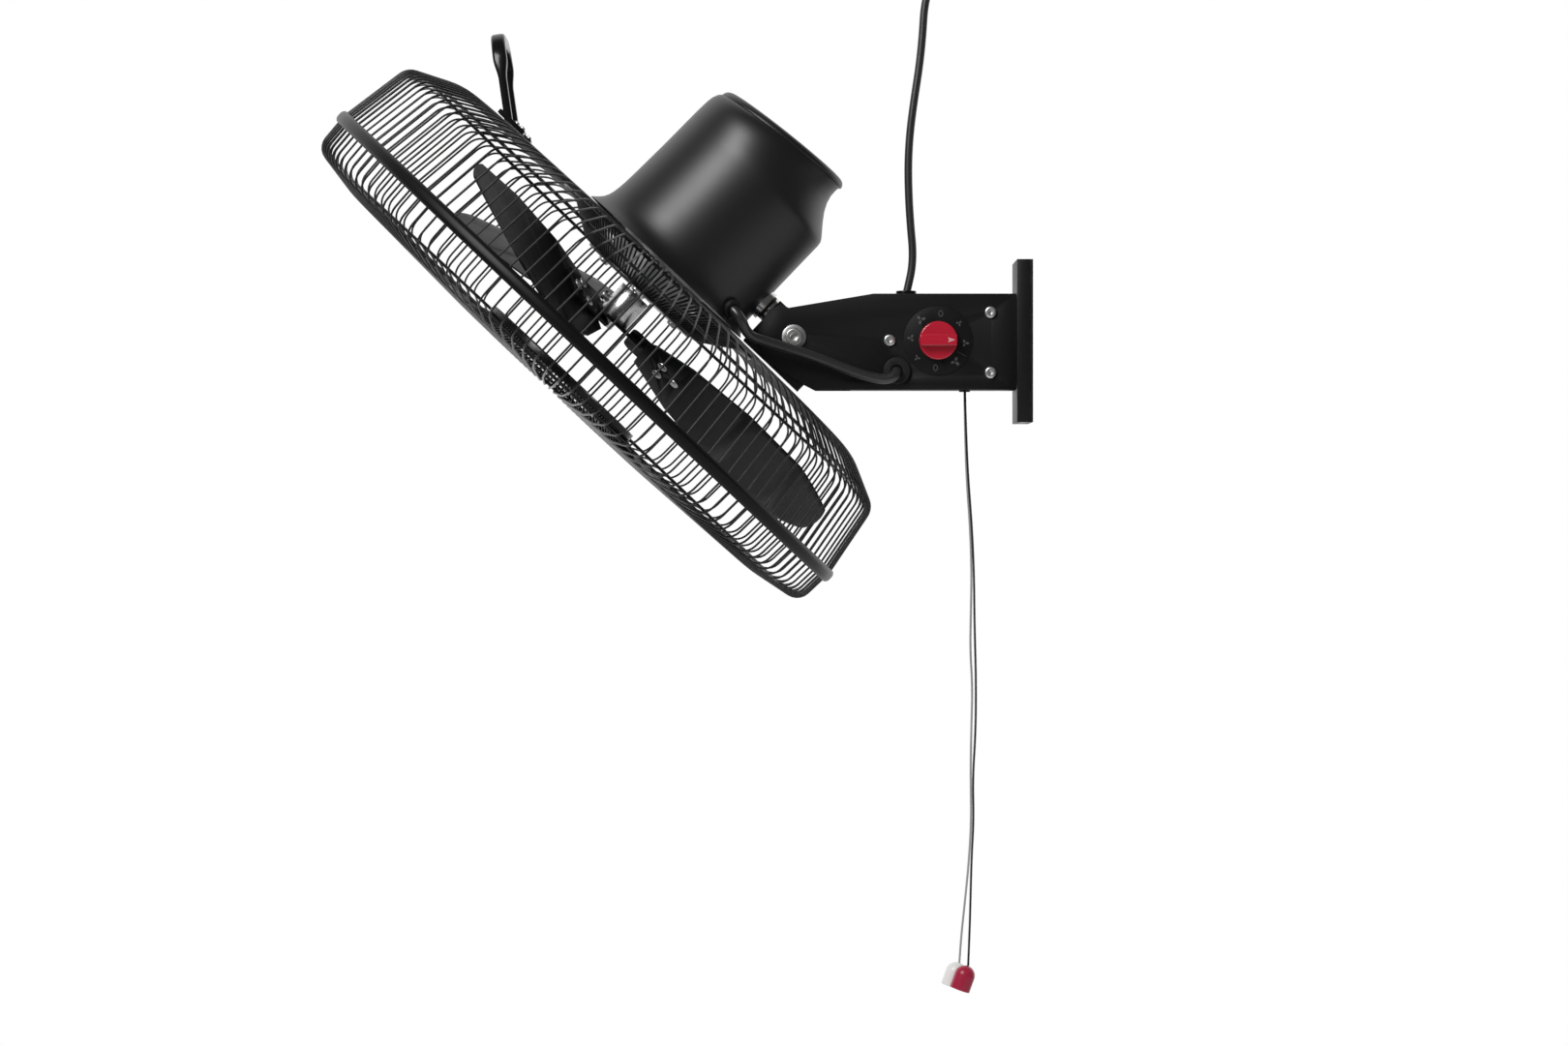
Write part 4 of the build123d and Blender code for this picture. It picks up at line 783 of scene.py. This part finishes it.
    def _clamp(self) -> None:
        """Turn the clamp band: a rolled strip with a crowned face and curled edges."""
        half, out, thick = self.clamp_half, self.clamp_radius, self.clamp_thick
        steps = self.crown_steps
        crown = [(out - thick * (abs(n) / steps) ** self.crown_power * self.crown_share,
                  half * n / steps) for n in range(-steps, steps + 1)]
        hem, hollow = half - self.clamp_hem, half - self.clamp_hollow
        inner = [(out - thick, hem), (out - thick + self.clamp_curl, hollow),
                 (out - thick + self.clamp_curl, -hollow), (out - thick, -hem)]
        band = SHOP.lathed("clamp_band", [[*crown, *inner]], 240, HEAD.matrix)
        SHOP.settle(band, "clamp_ring")
        self._clamp_ears()

    def _clamp_ears(self) -> None:
        """Add the two ears that the clamp's screw pulls together."""
        middles = [(-self.clamp_radius - self.ear_out, side * self.ear_apart, 0.0)
                   for side in (-1, 1)]
        SHOP.blocks("clamp_ears", self.ear_size, middles, self.ear_edge, "clamp_paint")

    def _disc(self) -> None:
        """Turn the plain front disc: a shallow dish with a rolled rim."""
        out, back, thick = self.disc_radius, self.disc_back, self.disc_thick
        front = back - thick
        bend, middle, step = self.disc_edge, self.disc_middle, out - self.disc_step
        edge = [(out - bend + bend * sin(radians(a)), front + bend - bend * cos(radians(a)))
                for a in (0, 22, 45, 68, 90)]
        face = [(r, front) for r in (middle, out * 0.5, out * 0.78, step)]
        rim = [(out - inwards, back - forwards) for inwards, forwards in self.disc_lip]
        inside = [(r, front + self.disc_wall) for r in (step, out * 0.5, middle)]
        disc = SHOP.lathed("front_disc_dish", [[*face, *edge, *rim, *inside]], 128, HEAD.matrix)
        SHOP.settle(disc, "front_disc")


# ---------------------------------------------------------------- the carrying handle
@dataclass
class Handle:
    """The moulded bow that the fan is carried by.

    The bow's points are how far in from the foot they lie, and at which share of the height.
    """

    foot_u: float = -0.171
    foot_z: float = 0.0914
    lean: float = 51.5
    half_span: float = 0.046
    height: float = 0.076
    leg_thick: float = 0.0034
    grip_thick: float = 0.0059
    depth: float = 0.0055
    ring_points: int = 20
    swell_from: float = 0.5
    swell_span: float = 0.25
    squareness: float = 0.45
    bow: Outline = ((0.0, 0.0), (0.0, 0.3), (0.0, 0.6), (0.003, 0.82), (0.014, 0.98), (0.028, 1.0))
    foot_size: Place = (0.014, 0.028, 0.004)
    foot_middle: tuple[float, float] = (-0.169, 0.0928)
    foot_edge: float = 0.0012

    def build(self) -> None:
        """Loft the bow from foot to foot and add its feet and screws."""
        lean = radians(self.lean)
        rise = HEAD.matrix.to_3x3() @ Vector((0, -sin(lean), cos(lean)))
        side = Vector((1, 0, 0))
        thick_way = side.cross(rise)
        foot = HEAD.point(0, self.foot_u, self.foot_z)
        top = self.height - self.depth
        line = [(-self.half_span + inwards, top * share) for inwards, share in self.bow]
        line = [*line, (0.0, top), *[(-x, h) for x, h in reversed(line)]]
        spline = self._smooth(line)
        turns = [2 * pi * k / self.ring_points for k in range(self.ring_points)]
        rings = []
        for n, (x, h) in enumerate(spline):
            before, after = spline[max(n - 1, 0)], spline[min(n + 1, len(spline) - 1)]
            along = Vector((after[0] - before[0], after[1] - before[1])).normalized()
            out = side * -along.y + rise * along.x
            share = min(1.0, max(0.0, (h / top - self.swell_from) / self.swell_span))
            swell = share ** 2 * (3 - 2 * share)
            thick = self.leg_thick + (self.grip_thick - self.leg_thick) * swell
            centre = foot + side * x + rise * h
            rings.append([centre + out * self.depth * self._bulge(cos(a))
                          + thick_way * thick * self._bulge(sin(a)) for a in turns])
        bow = SHOP.lofted("handle_bow", rings)
        SHOP.settle(bow, "guard_handle")
        self._feet()
        SHOP.refined("handle_screws", edge=0.0002)

    def _bulge(self, value: float) -> float:
        """Square a round section off."""
        return abs(value) ** self.squareness * (1 if value >= 0 else -1)

    @staticmethod
    def _smooth(points: Outline) -> list[tuple[float, float]]:
        """Read a smooth line through a few points, by cutting its corners three times."""
        line = [Vector(p) for p in points]
        for _ in range(3):
            cut = [line[0]]
            for a, b in zip(line, line[1:]):
                cut += [a.lerp(b, 0.25), a.lerp(b, 0.75)]
            line = [*cut, line[-1]]
        return [(p.x, p.y) for p in line]

    def _feet(self) -> None:
        """Add the two moulded feet that the screws hold to the guard."""
        middles = [(side * self.half_span, *self.foot_middle) for side in (-1, 1)]
        SHOP.blocks("handle_feet", self.foot_size, middles, self.foot_edge,
                    "gloss_black_plastic")


# ---------------------------------------------------------------- dial and knob
@dataclass
class Controls:
    """The printed dial, the speed knob and its pointer."""

    lean: float = 5.5
    icon_radius: float = 0.0226
    print_thick: float = 0.00008
    zero_size: tuple[float, float] = (0.0019, 0.0028)
    zero_line: float = 0.0006
    icons: Sequence[tuple[float, float]] = ((45.0, 0.0049), (90.0, 0.0062), (135.0, 0.0080),
                                            (225.0, 0.0049), (270.0, 0.0062), (315.0, 0.0080))
    icon_steps: int = 14
    icon_out: float = 0.29
    icon_long: float = 0.22
    icon_wide: float = 0.15
    line_at: float = 114.0
    line_span: tuple[float, float] = (0.0185, 0.0265)
    line_half: float = 0.0002
    zero_steps: int = 24
    pointer_in: float = 0.0022
    pointer: Outline = ((0.0, 0.0), (-0.0062, 0.0021), (-0.0052, 0.0), (-0.0062, -0.0021))

    def build(self) -> None:
        """Build the dial's print and the knob."""
        SHOP.refined("dial_plate", edge=0.00025)
        low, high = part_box("dial_plate")
        centre = Vector((high.x, (low.y + high.y) / 2, (low.z + high.z) / 2))
        work = bmesh.new()
        for angle in (0.0, 180.0):
            self._zero(work, angle)
        for angle, size in self.icons:
            self._fan_icon(work, angle, size)
        self._line(work)
        bmesh.ops.translate(work, vec=centre, verts=work.verts)
        marks = SHOP.shaped("dial_marks", work, sharp=20.0)
        SHOP.added(marks, "arm", "print_grey")
        SHOP.refined("speed_knob", edge=0.0006, segments=3)
        self._pointer()

    def _spot(self, angle: float, radius: float) -> Vector:
        """Return a point of the dial, clockwise from its top, in its own plane."""
        turn = radians(angle + self.lean)
        return Vector((0.0, radius * sin(turn), radius * cos(turn)))

    def _flat(self, work: bmesh.types.BMesh, outline: Sequence[Vector]) -> None:
        """Raise a flat outline to the print's thickness."""
        base = work.faces.new([work.verts.new(point) for point in outline])
        raised = bmesh.ops.extrude_face_region(work, geom=[base])["geom"]
        tops = [v for v in raised if isinstance(v, bmesh.types.BMVert)]
        bmesh.ops.translate(work, vec=(self.print_thick, 0, 0), verts=tops)

    def _zero(self, work: bmesh.types.BMesh, angle: float) -> None:
        """Draw a plain 0 in short strips.

        Args:
            work: The mesh that takes the strips.
            angle: Where the 0 stands on the dial.
        """
        middle = self._spot(angle, self.icon_radius)
        wide, tall = self.zero_size
        steps = self.zero_steps
        for n in range(steps):
            quad = []
            for turn, shrink in ((n, 0.0), (n + 1, 0.0), (n + 1, self.zero_line),
                                 (n, self.zero_line)):
                a = 2 * pi * turn / steps
                spot = Vector((0, (wide - shrink) * sin(a), (tall - shrink) * cos(a)))
                quad.append(middle + spot)
            self._flat(work, quad)

    def _fan_icon(self, work: bmesh.types.BMesh, angle: float, size: float) -> None:
        """Draw a little three-bladed fan.

        Args:
            work: The mesh that takes the blades.
            angle: Where the fan stands on the dial.
            size: How large it is.
        """
        middle = self._spot(angle, self.icon_radius)
        for blade in range(3):
            turn = Matrix.Rotation(radians(120 * blade - angle), 3, "X")
            outline = []
            for n in range(self.icon_steps):
                a = 2 * pi * n / self.icon_steps
                reach = size * (self.icon_out + self.icon_long * cos(a))
                aside = size * self.icon_wide * sin(a)
                outline.append(middle + turn @ Vector((0.0, aside, reach)))
            self._flat(work, outline)

    def _line(self, work: bmesh.types.BMesh) -> None:
        """Draw the thin line between the two halves of the scale."""
        across = self._spot(self.line_at + 90, self.line_half)
        near, far = (self._spot(self.line_at, r) for r in self.line_span)
        self._flat(work, [near - across, far - across, far + across, near + across])

    def _pointer(self) -> None:
        """Inlay the pale arrow at the end of the knob's grip."""
        low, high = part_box("speed_knob")
        tip = Vector((high.x, high.y - self.pointer_in, (low.z + high.z) / 2))
        work = bmesh.new()
        self._flat(work, [tip + Vector((0, *corner)) for corner in self.pointer])
        arrow = SHOP.shaped("knob_pointer", work, sharp=20.0)
        SHOP.added(arrow, "knob", "pointer_pale")


# ---------------------------------------------------------------- cords
@dataclass
class Route:
    """A cord's way through space, with the size of what follows it."""

    name: str
    points: Sequence[Place]
    diameter: float

    def curve(self, thick: bool) -> bpy.types.Object:
        """Make a smooth line that follows the points.

        Args:
            thick: Whether the line has the cord's thickness.

        Returns:
            The curve's object.
        """
        data = bpy.data.curves.new(self.name, "CURVE")
        data.dimensions, data.resolution_u = "3D", 8
        spline = data.splines.new("NURBS")
        spline.points.add(len(self.points) - 1)
        for point, place in zip(spline.points, self.points):
            point.co = (*place, 1.0)
        spline.order_u = 3
        spline.use_endpoint_u = True
        if thick:
            data.bevel_depth, data.bevel_resolution = self.diameter / 2, 3
            data.use_fill_caps = True
        item = bpy.data.objects.new(self.name, data)
        bpy.context.scene.collection.objects.link(item)
        return item

    def line(self) -> list[Vector]:
        """Read the smooth line's points."""
        bare = self.curve(thick=False)
        points = [vertex.co.copy() for vertex in SHOP.frozen(bare).vertices]
        bpy.data.objects.remove(bare)
        return points

    def tube(self) -> bpy.types.Object:
        """Make the cord as a plain mesh tube."""
        round_curve = self.curve(thick=True)
        mesh = SHOP.frozen(round_curve)
        bpy.data.objects.remove(round_curve)
        mesh.name = self.name
        SHOP.smooth(mesh, 50.0)
        return SHOP.thing(self.name, mesh)


def length_of(line: Sequence[Vector]) -> float:
    """Return the length of a line of points."""
    return sum((b - a).length for a, b in zip(line, line[1:]))


@dataclass
class MainsLead:
    """The lead from the arm to its coil, its tail, its tie and its plug."""

    diameter: float = 0.0069
    seen: Sequence[Place] = (
        (0, -0.1036, 0.040), (0, -0.1012, 0.050), (0, -0.0987, 0.062), (0, -0.0980, 0.077),
        (0, -0.0998, 0.096), (0, -0.1014, 0.120), (0, -0.1020, 0.148), (0, -0.1006, 0.174),
        (0, -0.0970, 0.202), (0, -0.0926, 0.230), (0, -0.0899, 0.256), (0, -0.0884, 0.282),
        (0.001, -0.082, 0.304), (0.005, -0.066, 0.318), (0.013, -0.046, 0.322),
        (0.024, -0.026, 0.324))
    tail: Sequence[Place] = (
        (0.0385, -0.0125, 0.3815), (0.0300, -0.0125, 0.3955), (0.0195, -0.0128, 0.4085),
        (0.0120, -0.0132, 0.4230), (0.0100, -0.0135, 0.4390))
    coil_centre: Place = (0.0, -0.009, 0.350)
    coil_radius: float = 0.040
    spacing: float = 0.0070
    layer: float = 0.0035
    enter: float = -35.7
    leave: float = 20.0
    full_turns: int = 5
    step: float = 20.0
    shift_from: float = 300.0
    shift_span: float = 50.0

    def build(self) -> None:
        """Build the lead as one smooth line with its own pieces on it."""
        route = Route("mains_lead_cord", [*self.seen, *self._coil(), *self.tail], self.diameter)
        length = length_of(route.line())
        lead = route.curve(thick=True)
        lead.data.materials.append(SHOP.materials["cable_sheath"])
        SHOP.settle(lead, "mains_lead", "lead_coil", "lead_tail")
        gland = SHOP.refined("lead_gland", edge=0.0006, segments=3)
        tie = SHOP.refined("lead_tie", edge=0.0002)
        plug = SHOP.refined("mains_plug", edge=0.0008, segments=3)
        LOG.info("mains lead is %.3f m long, out of %s", length, gland.name)

    def _coil(self) -> list[Place]:
        """Wind the coil: six places side by side, and each turn moves to a free one."""
        gap, deep = self.spacing, self.layer
        places = [(0, -deep), (-gap, -deep), (-gap, deep), (0, deep), (gap, deep), (gap, -deep)]
        end = self.leave + 360 * self.full_turns
        grow = 1 / cos(radians(self.step / 2))
        points = []
        angle = self.enter
        while angle < end + 0.1:
            turn, within = divmod(angle - self.enter, 360)
            turn = int(turn)
            start = self.shift_from - self.shift_span * (turn + 1)
            share = (within + self.enter - start) / self.shift_span
            share = min(1.0, max(0.0, share)) if turn < self.full_turns else 0.0
            after = places[min(turn + 1, len(places) - 1)]
            out, depth = (a + (b - a) * share for a, b in zip(places[turn], after))
            radius = (self.coil_radius + out) * grow
            x, y, z = self.coil_centre
            points.append((x + radius * cos(radians(angle)), y + depth,
                           z + radius * sin(radians(angle))))
            angle += self.step
        return points


@dataclass
class MotorCable:
    """The cable that loops from the arm to the motor, and bends as the head moves."""

    diameter: float = 0.0088
    arm_part: Sequence[Place] = (
        (0.0115, -0.1118, -0.0242), (0.0215, -0.1118, -0.0242), (0.0265, -0.1132, -0.0286),
        (0.0280, -0.1210, -0.0319), (0.0284, -0.1330, -0.0300), (0.0290, -0.1470, -0.0256),
        (0.0300, -0.1669, -0.0179), (0.0320, -0.1860, -0.0109), (0.0345, -0.2040, -0.0054))
    head_part: Sequence[Place] = (
        (0.0345, -0.2040, -0.0054), (0.03675, -0.2202, -0.00045), (0.0430, -0.2360, 0.0044))
    head_end: Sequence[Place] = ((0.0545, 0.0765, 0.1064), (0.0448, 0.0638, 0.1060))

    def build(self) -> None:
        """Build both stretches and let them bend at the tilt and at the swing."""
        to_head = [*self.head_part, *[tuple(HEAD.point(*place)) for place in self.head_end]]
        stretches = (("motor_cable_arm", self.arm_part, "arm", "neck", 5, 8),
                     ("motor_cable_head", to_head, "neck", "head", 0, 4))
        for node, points, before, after, start, end in stretches:
            route = Route(node + "_cord", points, self.diameter)
            line = route.line()
            piece = route.tube()
            piece.data.materials.append(SHOP.materials["cable_sheath"])
            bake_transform(piece, before, after, start=points[start], end=points[end])
            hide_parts(node)
            LOG.info("%s stands for %s", piece.name, node)
        SHOP.refined("arm_grommet", edge=0.0009, segments=3)
        SHOP.refined("housing_grommet", edge=0.0009, segments=3)


@dataclass
class PullCords:
    """The two twisted pull cords with their pulls."""

    diameter: float = 0.0018
    strand_bulge: float = 0.16
    twist_pitch: float = 0.0058
    sample: float = 0.0007
    speed: Sequence[Place] = (
        (0.0032, -0.0549, -0.0012), (0.0032, -0.0548, -0.036), (0.0032, -0.0539, -0.070),
        (0.0036, -0.0523, -0.110), (0.0040, -0.0490, -0.1525), (0.0046, -0.0472, -0.193),
        (0.0054, -0.0468, -0.236), (0.0060, -0.0456, -0.280), (0.0066, -0.0459, -0.324),
        (0.0072, -0.0484, -0.363), (0.0078, -0.0476, -0.398), (0.0082, -0.0494, -0.428),
        (0.0086, -0.0503, -0.464), (0.0089, -0.0512, -0.494), (0.0090, -0.0523, -0.519))
    swing: Sequence[Place] = (
        (-0.0032, -0.0549, -0.0012), (-0.0032, -0.0549, -0.036), (-0.0032, -0.0544, -0.072),
        (-0.0036, -0.0532, -0.112), (-0.0040, -0.0502, -0.153), (-0.0046, -0.0488, -0.190),
        (-0.0052, -0.0494, -0.226), (-0.0058, -0.0500, -0.256), (-0.0062, -0.0480, -0.288),
        (-0.0066, -0.0490, -0.322), (-0.0072, -0.0496, -0.360), (-0.0078, -0.0489, -0.400),
        (-0.0082, -0.0512, -0.436), (-0.0086, -0.0546, -0.470), (-0.0089, -0.0576, -0.498),
        (-0.0090, -0.0589, -0.518))

    def build(self) -> None:
        """Build both cords and their pulls."""
        tree = self._tree()
        for node, pull, points in (("speed_cord", "speed_pull", self.speed),
                                   ("swing_cord", "swing_pull", self.swing)):
            line = Route(node + "_line", points, self.diameter).line()
            values = {"Radius": self.diameter / 2, "Bulge": self.strand_bulge,
                      "Pitch": self.twist_pitch, "Sample": self.sample,
                      "Yarn": SHOP.materials[SHOP.slots[node]]}
            cord = SHOP.settle(GrownPiece(node + "_twist", tree, values).grow(line), node)
            handle = SHOP.refined(pull, edge=0.0005, segments=3)

    def _tree(self) -> bpy.types.NodeTree:
        """Build the tree that twists three strands along a line."""
        sheet, given, result = new_group(
            "twisted_cord", "GeometryNodeTree",
            {"Geometry": "Geometry", "Radius": "Float", "Bulge": "Float", "Pitch": "Float",
             "Sample": "Float", "Yarn": "Material"}, {"Geometry": "Geometry"})
        line = sheet.add("GeometryNodeMeshToCurve", Mesh=given.outputs["Geometry"])
        even = sheet.add("GeometryNodeResampleCurve", {"mode": "LENGTH"},
                         Curve=line.outputs["Curve"], Length=given.outputs["Sample"])
        along = sheet.add("GeometryNodeSplineParameter").outputs["Length"]
        turns = sheet.maths("DIVIDE", along, given.outputs["Pitch"])
        twisted = sheet.add("GeometryNodeSetCurveTilt", Curve=even.outputs["Curve"],
                            Tilt=sheet.maths("MULTIPLY", turns, 2 * pi))
        ring = sheet.add("GeometryNodeCurvePrimitiveCircle", Resolution=12,
                         Radius=given.outputs["Radius"])
        spot = sheet.add("GeometryNodeInputPosition").outputs["Position"]
        apart = sheet.add("ShaderNodeSeparateXYZ", Vector=spot)
        angle = sheet.maths("ARCTAN2", apart.outputs["Y"], apart.outputs["X"])
        lobe = sheet.maths("COSINE", sheet.maths("MULTIPLY", angle, 3.0))
        swell = sheet.maths("ADD", 1.0, sheet.maths("MULTIPLY", lobe, given.outputs["Bulge"]))
        moved = sheet.add("ShaderNodeVectorMath", {"operation": "SCALE"}, Vector=spot, Scale=swell)
        section = sheet.add("GeometryNodeSetPosition", Geometry=ring.outputs["Curve"],
                            Position=moved.outputs["Vector"])
        cord = sheet.add("GeometryNodeCurveToMesh", Curve=twisted.outputs["Curve"],
                         Profile_Curve=section.outputs["Geometry"], Fill_Caps=True)
        return sheet.close(result, cord.outputs["Mesh"], given.outputs["Yarn"])


# ---------------------------------------------------------------- refined pieces
@dataclass
class Housing:
    """The motor's plastic shell, drawn through many sections so that its light runs smoothly.

    Each section holds its place along the shaft, its top and bottom down the fan's face, its
    half width and its lean in degrees.
    """

    sections: Sequence[tuple[float, float, float, float, float]] = (
        (0.0944, -0.0834, 0.0883, 0.0836, 0.0), (0.0965, -0.0808, 0.0862, 0.0816, 0.0),
        (0.0990, -0.0781, 0.0848, 0.0796, 0.0), (0.1020, -0.0755, 0.0835, 0.0776, 0.0),
        (0.1060, -0.0735, 0.0826, 0.0761, 0.0), (0.1100, -0.0723, 0.0823, 0.0750, 0.0),
        (0.1160, -0.0713, 0.0822, 0.0742, 0.0), (0.1220, -0.0707, 0.0821, 0.0736, 0.0),
        (0.1360, -0.0699, 0.0821, 0.0728, 0.0), (0.1500, -0.0694, 0.0821, 0.0720, 0.0),
        (0.1660, -0.0688, 0.0822, 0.0711, 0.0), (0.1820, -0.0684, 0.0823, 0.0703, 0.0),
        (0.1940, -0.0682, 0.0824, 0.0696, 0.0), (0.1975, -0.0681, 0.0820, 0.0693, 0.1),
        (0.2000, -0.0680, 0.0806, 0.0691, 0.3), (0.2030, -0.0680, 0.0779, 0.0688, 0.7),
        (0.2070, -0.0679, 0.0742, 0.0684, 1.1), (0.2110, -0.0678, 0.0707, 0.0678, 1.6),
        (0.2160, -0.0676, 0.0668, 0.0671, 2.2), (0.2220, -0.0673, 0.0635, 0.0660, 3.0),
        (0.2280, -0.0665, 0.0618, 0.0643, 3.8), (0.2330, -0.0648, 0.0617, 0.0622, 4.5),
        (0.2360, -0.0626, 0.0622, 0.0600, 5.0))
    wall: float = 0.0024
    steps: int = 120
    neck_span: tuple[float, float] = (0.060, 0.100)
    neck_room: float = 0.014

    def build(self) -> None:
        """Build the shell with the hole for its neck."""
        work = bmesh.new()
        outer = [self._ring(work, section, 0.0) for section in self.sections]
        inner = [self._ring(work, section, self.wall) for section in self.sections]
        SHOP.skin(work, outer + inner[::-1], closed=True)
        shell = SHOP.shaped("housing_shell", work, sharp=45.0, within=HEAD.matrix)
        low, high = self.neck_span
        bore = bmesh.new()
        bmesh.ops.create_cone(bore, cap_ends=True, segments=64, radius1=self.neck_room,
                              radius2=self.neck_room, depth=high - low,
                              matrix=Matrix.Rotation(pi / 2, 4, "X"))
        neck = HEAD.along_shaft(JOINTS["head_swing"]["pos_m"])
        place = Matrix.Translation((0.0, (low + high) / 2, neck))
        cutter = SHOP.shaped("neck_bore", bore, within=HEAD.matrix @ place)
        cut = shell.modifiers.new("neck", "BOOLEAN")
        cut.object, cut.operation, cut.solver = cutter, "DIFFERENCE", "EXACT"
        shell.data = SHOP.frozen(shell)
        shell.modifiers.clear()
        bpy.data.objects.remove(cutter)
        SHOP.smooth(shell.data, 45.0)
        SHOP.settle(shell, "motor_housing")

    def _ring(self, work: bmesh.types.BMesh, section: tuple[float, ...],
              shrink: float) -> list[bmesh.types.BMVert]:
        """Set one section's points out.

        Args:
            work: The mesh that takes them.
            section: The section.
            shrink: How much smaller it is all round.

        Returns:
            The points in their order.
        """
        place, top, bottom, wide, lean = section
        middle, tall = (top + bottom) / 2, (bottom - top) / 2 - shrink
        tilt = radians(lean)
        points = []
        for n in range(self.steps):
            turn = 2 * pi * n / self.steps
            down = tall * sin(turn)
            points.append(work.verts.new(((wide - shrink) * cos(turn), middle + down * cos(tilt),
                                          place + down * sin(tilt))))
        return points


@dataclass
class Refinements:
    """The pieces whose own shape stays, with broken corners and smooth faces."""

    edges: dict[str, float] = field(default_factory=lambda: {
        "wall_bracket": 0.0004, "arm_base": 0.0007, "bracket_screws": 0.0002,
        "arm_channel": 0.0006, "arm_cover": 0.0003, "arm_screws": 0.0002, "cord_guide": 0.0004,
        "tilt_bolt": 0.0004, "tilt_washers_and_nut": 0.0003, "tilt_yoke": 0.0006,
        "rear_cap": 0.0012, "blades": 0.0003, "blade_spider": 0.0005,
        "blade_rivets": 0.0007, "blade_hub": 0.0006, "hub_screw": 0.0003, "front_bell": 0.0008,
        "motor_shaft": 0.0003, "neck_socket": 0.0004, "swivel_post": 0.0004, "neck_bush": 0.0002})

    def build(self) -> None:
        """Refine each piece."""
        for node, edge in self.edges.items():
            SHOP.refined(node, edge)

    def dress_inside(self) -> None:
        """Give every node that still shows itself its own finish."""
        for node, item in frame["nodes"].items():
            if not item.hide_render:
                item.data.materials.clear()
                item.data.materials.append(SHOP.materials[SHOP.slots[node]])
                LOG.info("%s keeps its own shape", node)


# ---------------------------------------------------------------- studio
@dataclass
class Studio:
    """A camera square to the fan's side, a large soft lamp and a plain pale surround."""

    camera_at: Place = (3.7, -0.2054, -0.1501)
    focal: float = 101.9
    sensor: float = 36.0
    lamp_target: Place = (0.0, -0.37, 0.0)
    lamp_way: Place = (0.72, -0.42, 0.56)
    lamp_distance: float = 2.6
    lamp_size: float = 1.15
    lamp_power: float = 44.0
    sky_light: float = 0.5
    behind_camera: float = 0.06
    dark_from: float = -0.55
    dark_to: float = -0.05
    floor_z: float = -1.6
    floor_half: float = 4.0
    floor_dark: tuple[float, float, float, float] = (0.80, 0.80, 0.80, 1.0)
    floor_pale: tuple[float, float, float, float] = (0.84, 0.84, 0.84, 1.0)

    def build(self) -> None:
        """Set up the camera, the lamp, the surround and the floor."""
        scene = bpy.context.scene
        scene.view_settings.view_transform = "Standard"
        camera = bpy.data.cameras.new("camera")
        camera.lens, camera.sensor_width = self.focal, self.sensor
        eye = bpy.data.objects.new("camera", camera)
        eye.location = self.camera_at
        eye.rotation_euler = (pi / 2, 0.0, pi / 2)
        scene.collection.objects.link(eye)
        scene.camera = eye
        self._lamp()
        self._surround()
        self._floor()

    def _lamp(self) -> None:
        """Hang the soft lamp up and to the front of the fan."""
        data = bpy.data.lights.new("softbox", "AREA")
        data.shape, data.size, data.size_y = "RECTANGLE", self.lamp_size, self.lamp_size
        data.energy = self.lamp_power
        lamp = bpy.data.objects.new("softbox", data)
        way = Vector(self.lamp_way).normalized()
        lamp.location = Vector(self.lamp_target) + way * self.lamp_distance
        lamp.rotation_euler = way.to_track_quat("Z", "Y").to_euler()
        bpy.context.scene.collection.objects.link(lamp)

    def _surround(self) -> None:
        """Make the surround white, soft on the fan, and dark only behind the camera."""
        world = bpy.data.worlds.new("surround")
        world.use_nodes = True
        bpy.context.scene.world = world
        sheet = NodeSheet(world.node_tree)
        shader = sheet.tree.nodes["Background"]
        rays = sheet.add("ShaderNodeLightPath")
        apart = sheet.add("ShaderNodeSeparateXYZ",
                          Vector=sheet.add("ShaderNodeTexCoord").outputs["Generated"])
        behind = sheet.remapped(apart.outputs["X"], self.dark_from, self.dark_to)
        mirrored = sheet.maths("MAXIMUM", rays.outputs["Is Glossy Ray"],
                               rays.outputs["Is Transmission Ray"])
        dim = sheet.maths("SUBTRACT", 1.0, sheet.maths("MULTIPLY", behind,
                                                       1.0 - self.behind_camera))
        seen = sheet.maths("MAXIMUM", rays.outputs["Is Camera Ray"],
                           sheet.maths("MULTIPLY", mirrored, dim))
        soft = sheet.maths("MULTIPLY", self.sky_light, sheet.maths(
            "SUBTRACT", 1.0, sheet.maths("MAXIMUM", rays.outputs["Is Camera Ray"], mirrored)))
        sheet.feed(shader.inputs["Strength"], sheet.maths("ADD", seen, soft))
        shader.inputs["Color"].default_value = (1.0, 1.0, 1.0, 1.0)

    def _floor(self) -> None:
        """Lay the pale floor."""
        half = self.floor_half
        mesh = bpy.data.meshes.new("floor")
        corners = [(x * half, y * half, self.floor_z)
                   for x, y in ((-1, -1), (1, -1), (1, 1), (-1, 1))]
        mesh.from_pydata(corners, [], [(0, 1, 2, 3)])
        material = bpy.data.materials.new("floor")
        material.use_nodes = True
        sheet = NodeSheet(material.node_tree)
        shader = sheet.tree.nodes["Principled BSDF"]
        noise = sheet.noise(sheet.spot(), 3.0, 2.0)
        tone = sheet.mixed(noise, self.floor_dark, self.floor_pale)
        sheet.feed(shader.inputs["Base Color"], tone)
        shader.inputs["Roughness"].default_value = 0.9
        mesh.materials.append(material)
        floor = SHOP.thing("floor", mesh)


def main() -> None:
    """Build the fan's looks in order."""
    logging.basicConfig(level=logging.INFO, format="%(message)s")
    SHOP.open()
    Studio().build()
    MainsLead().build()
    MotorCable().build()
    PullCords().build()
    Guards().build()
    Handle().build()
    Controls().build()
    Housing().build()
    pieces = Refinements()
    pieces.build()
    pieces.dress_inside()


if __name__ == "__main__":
    main()
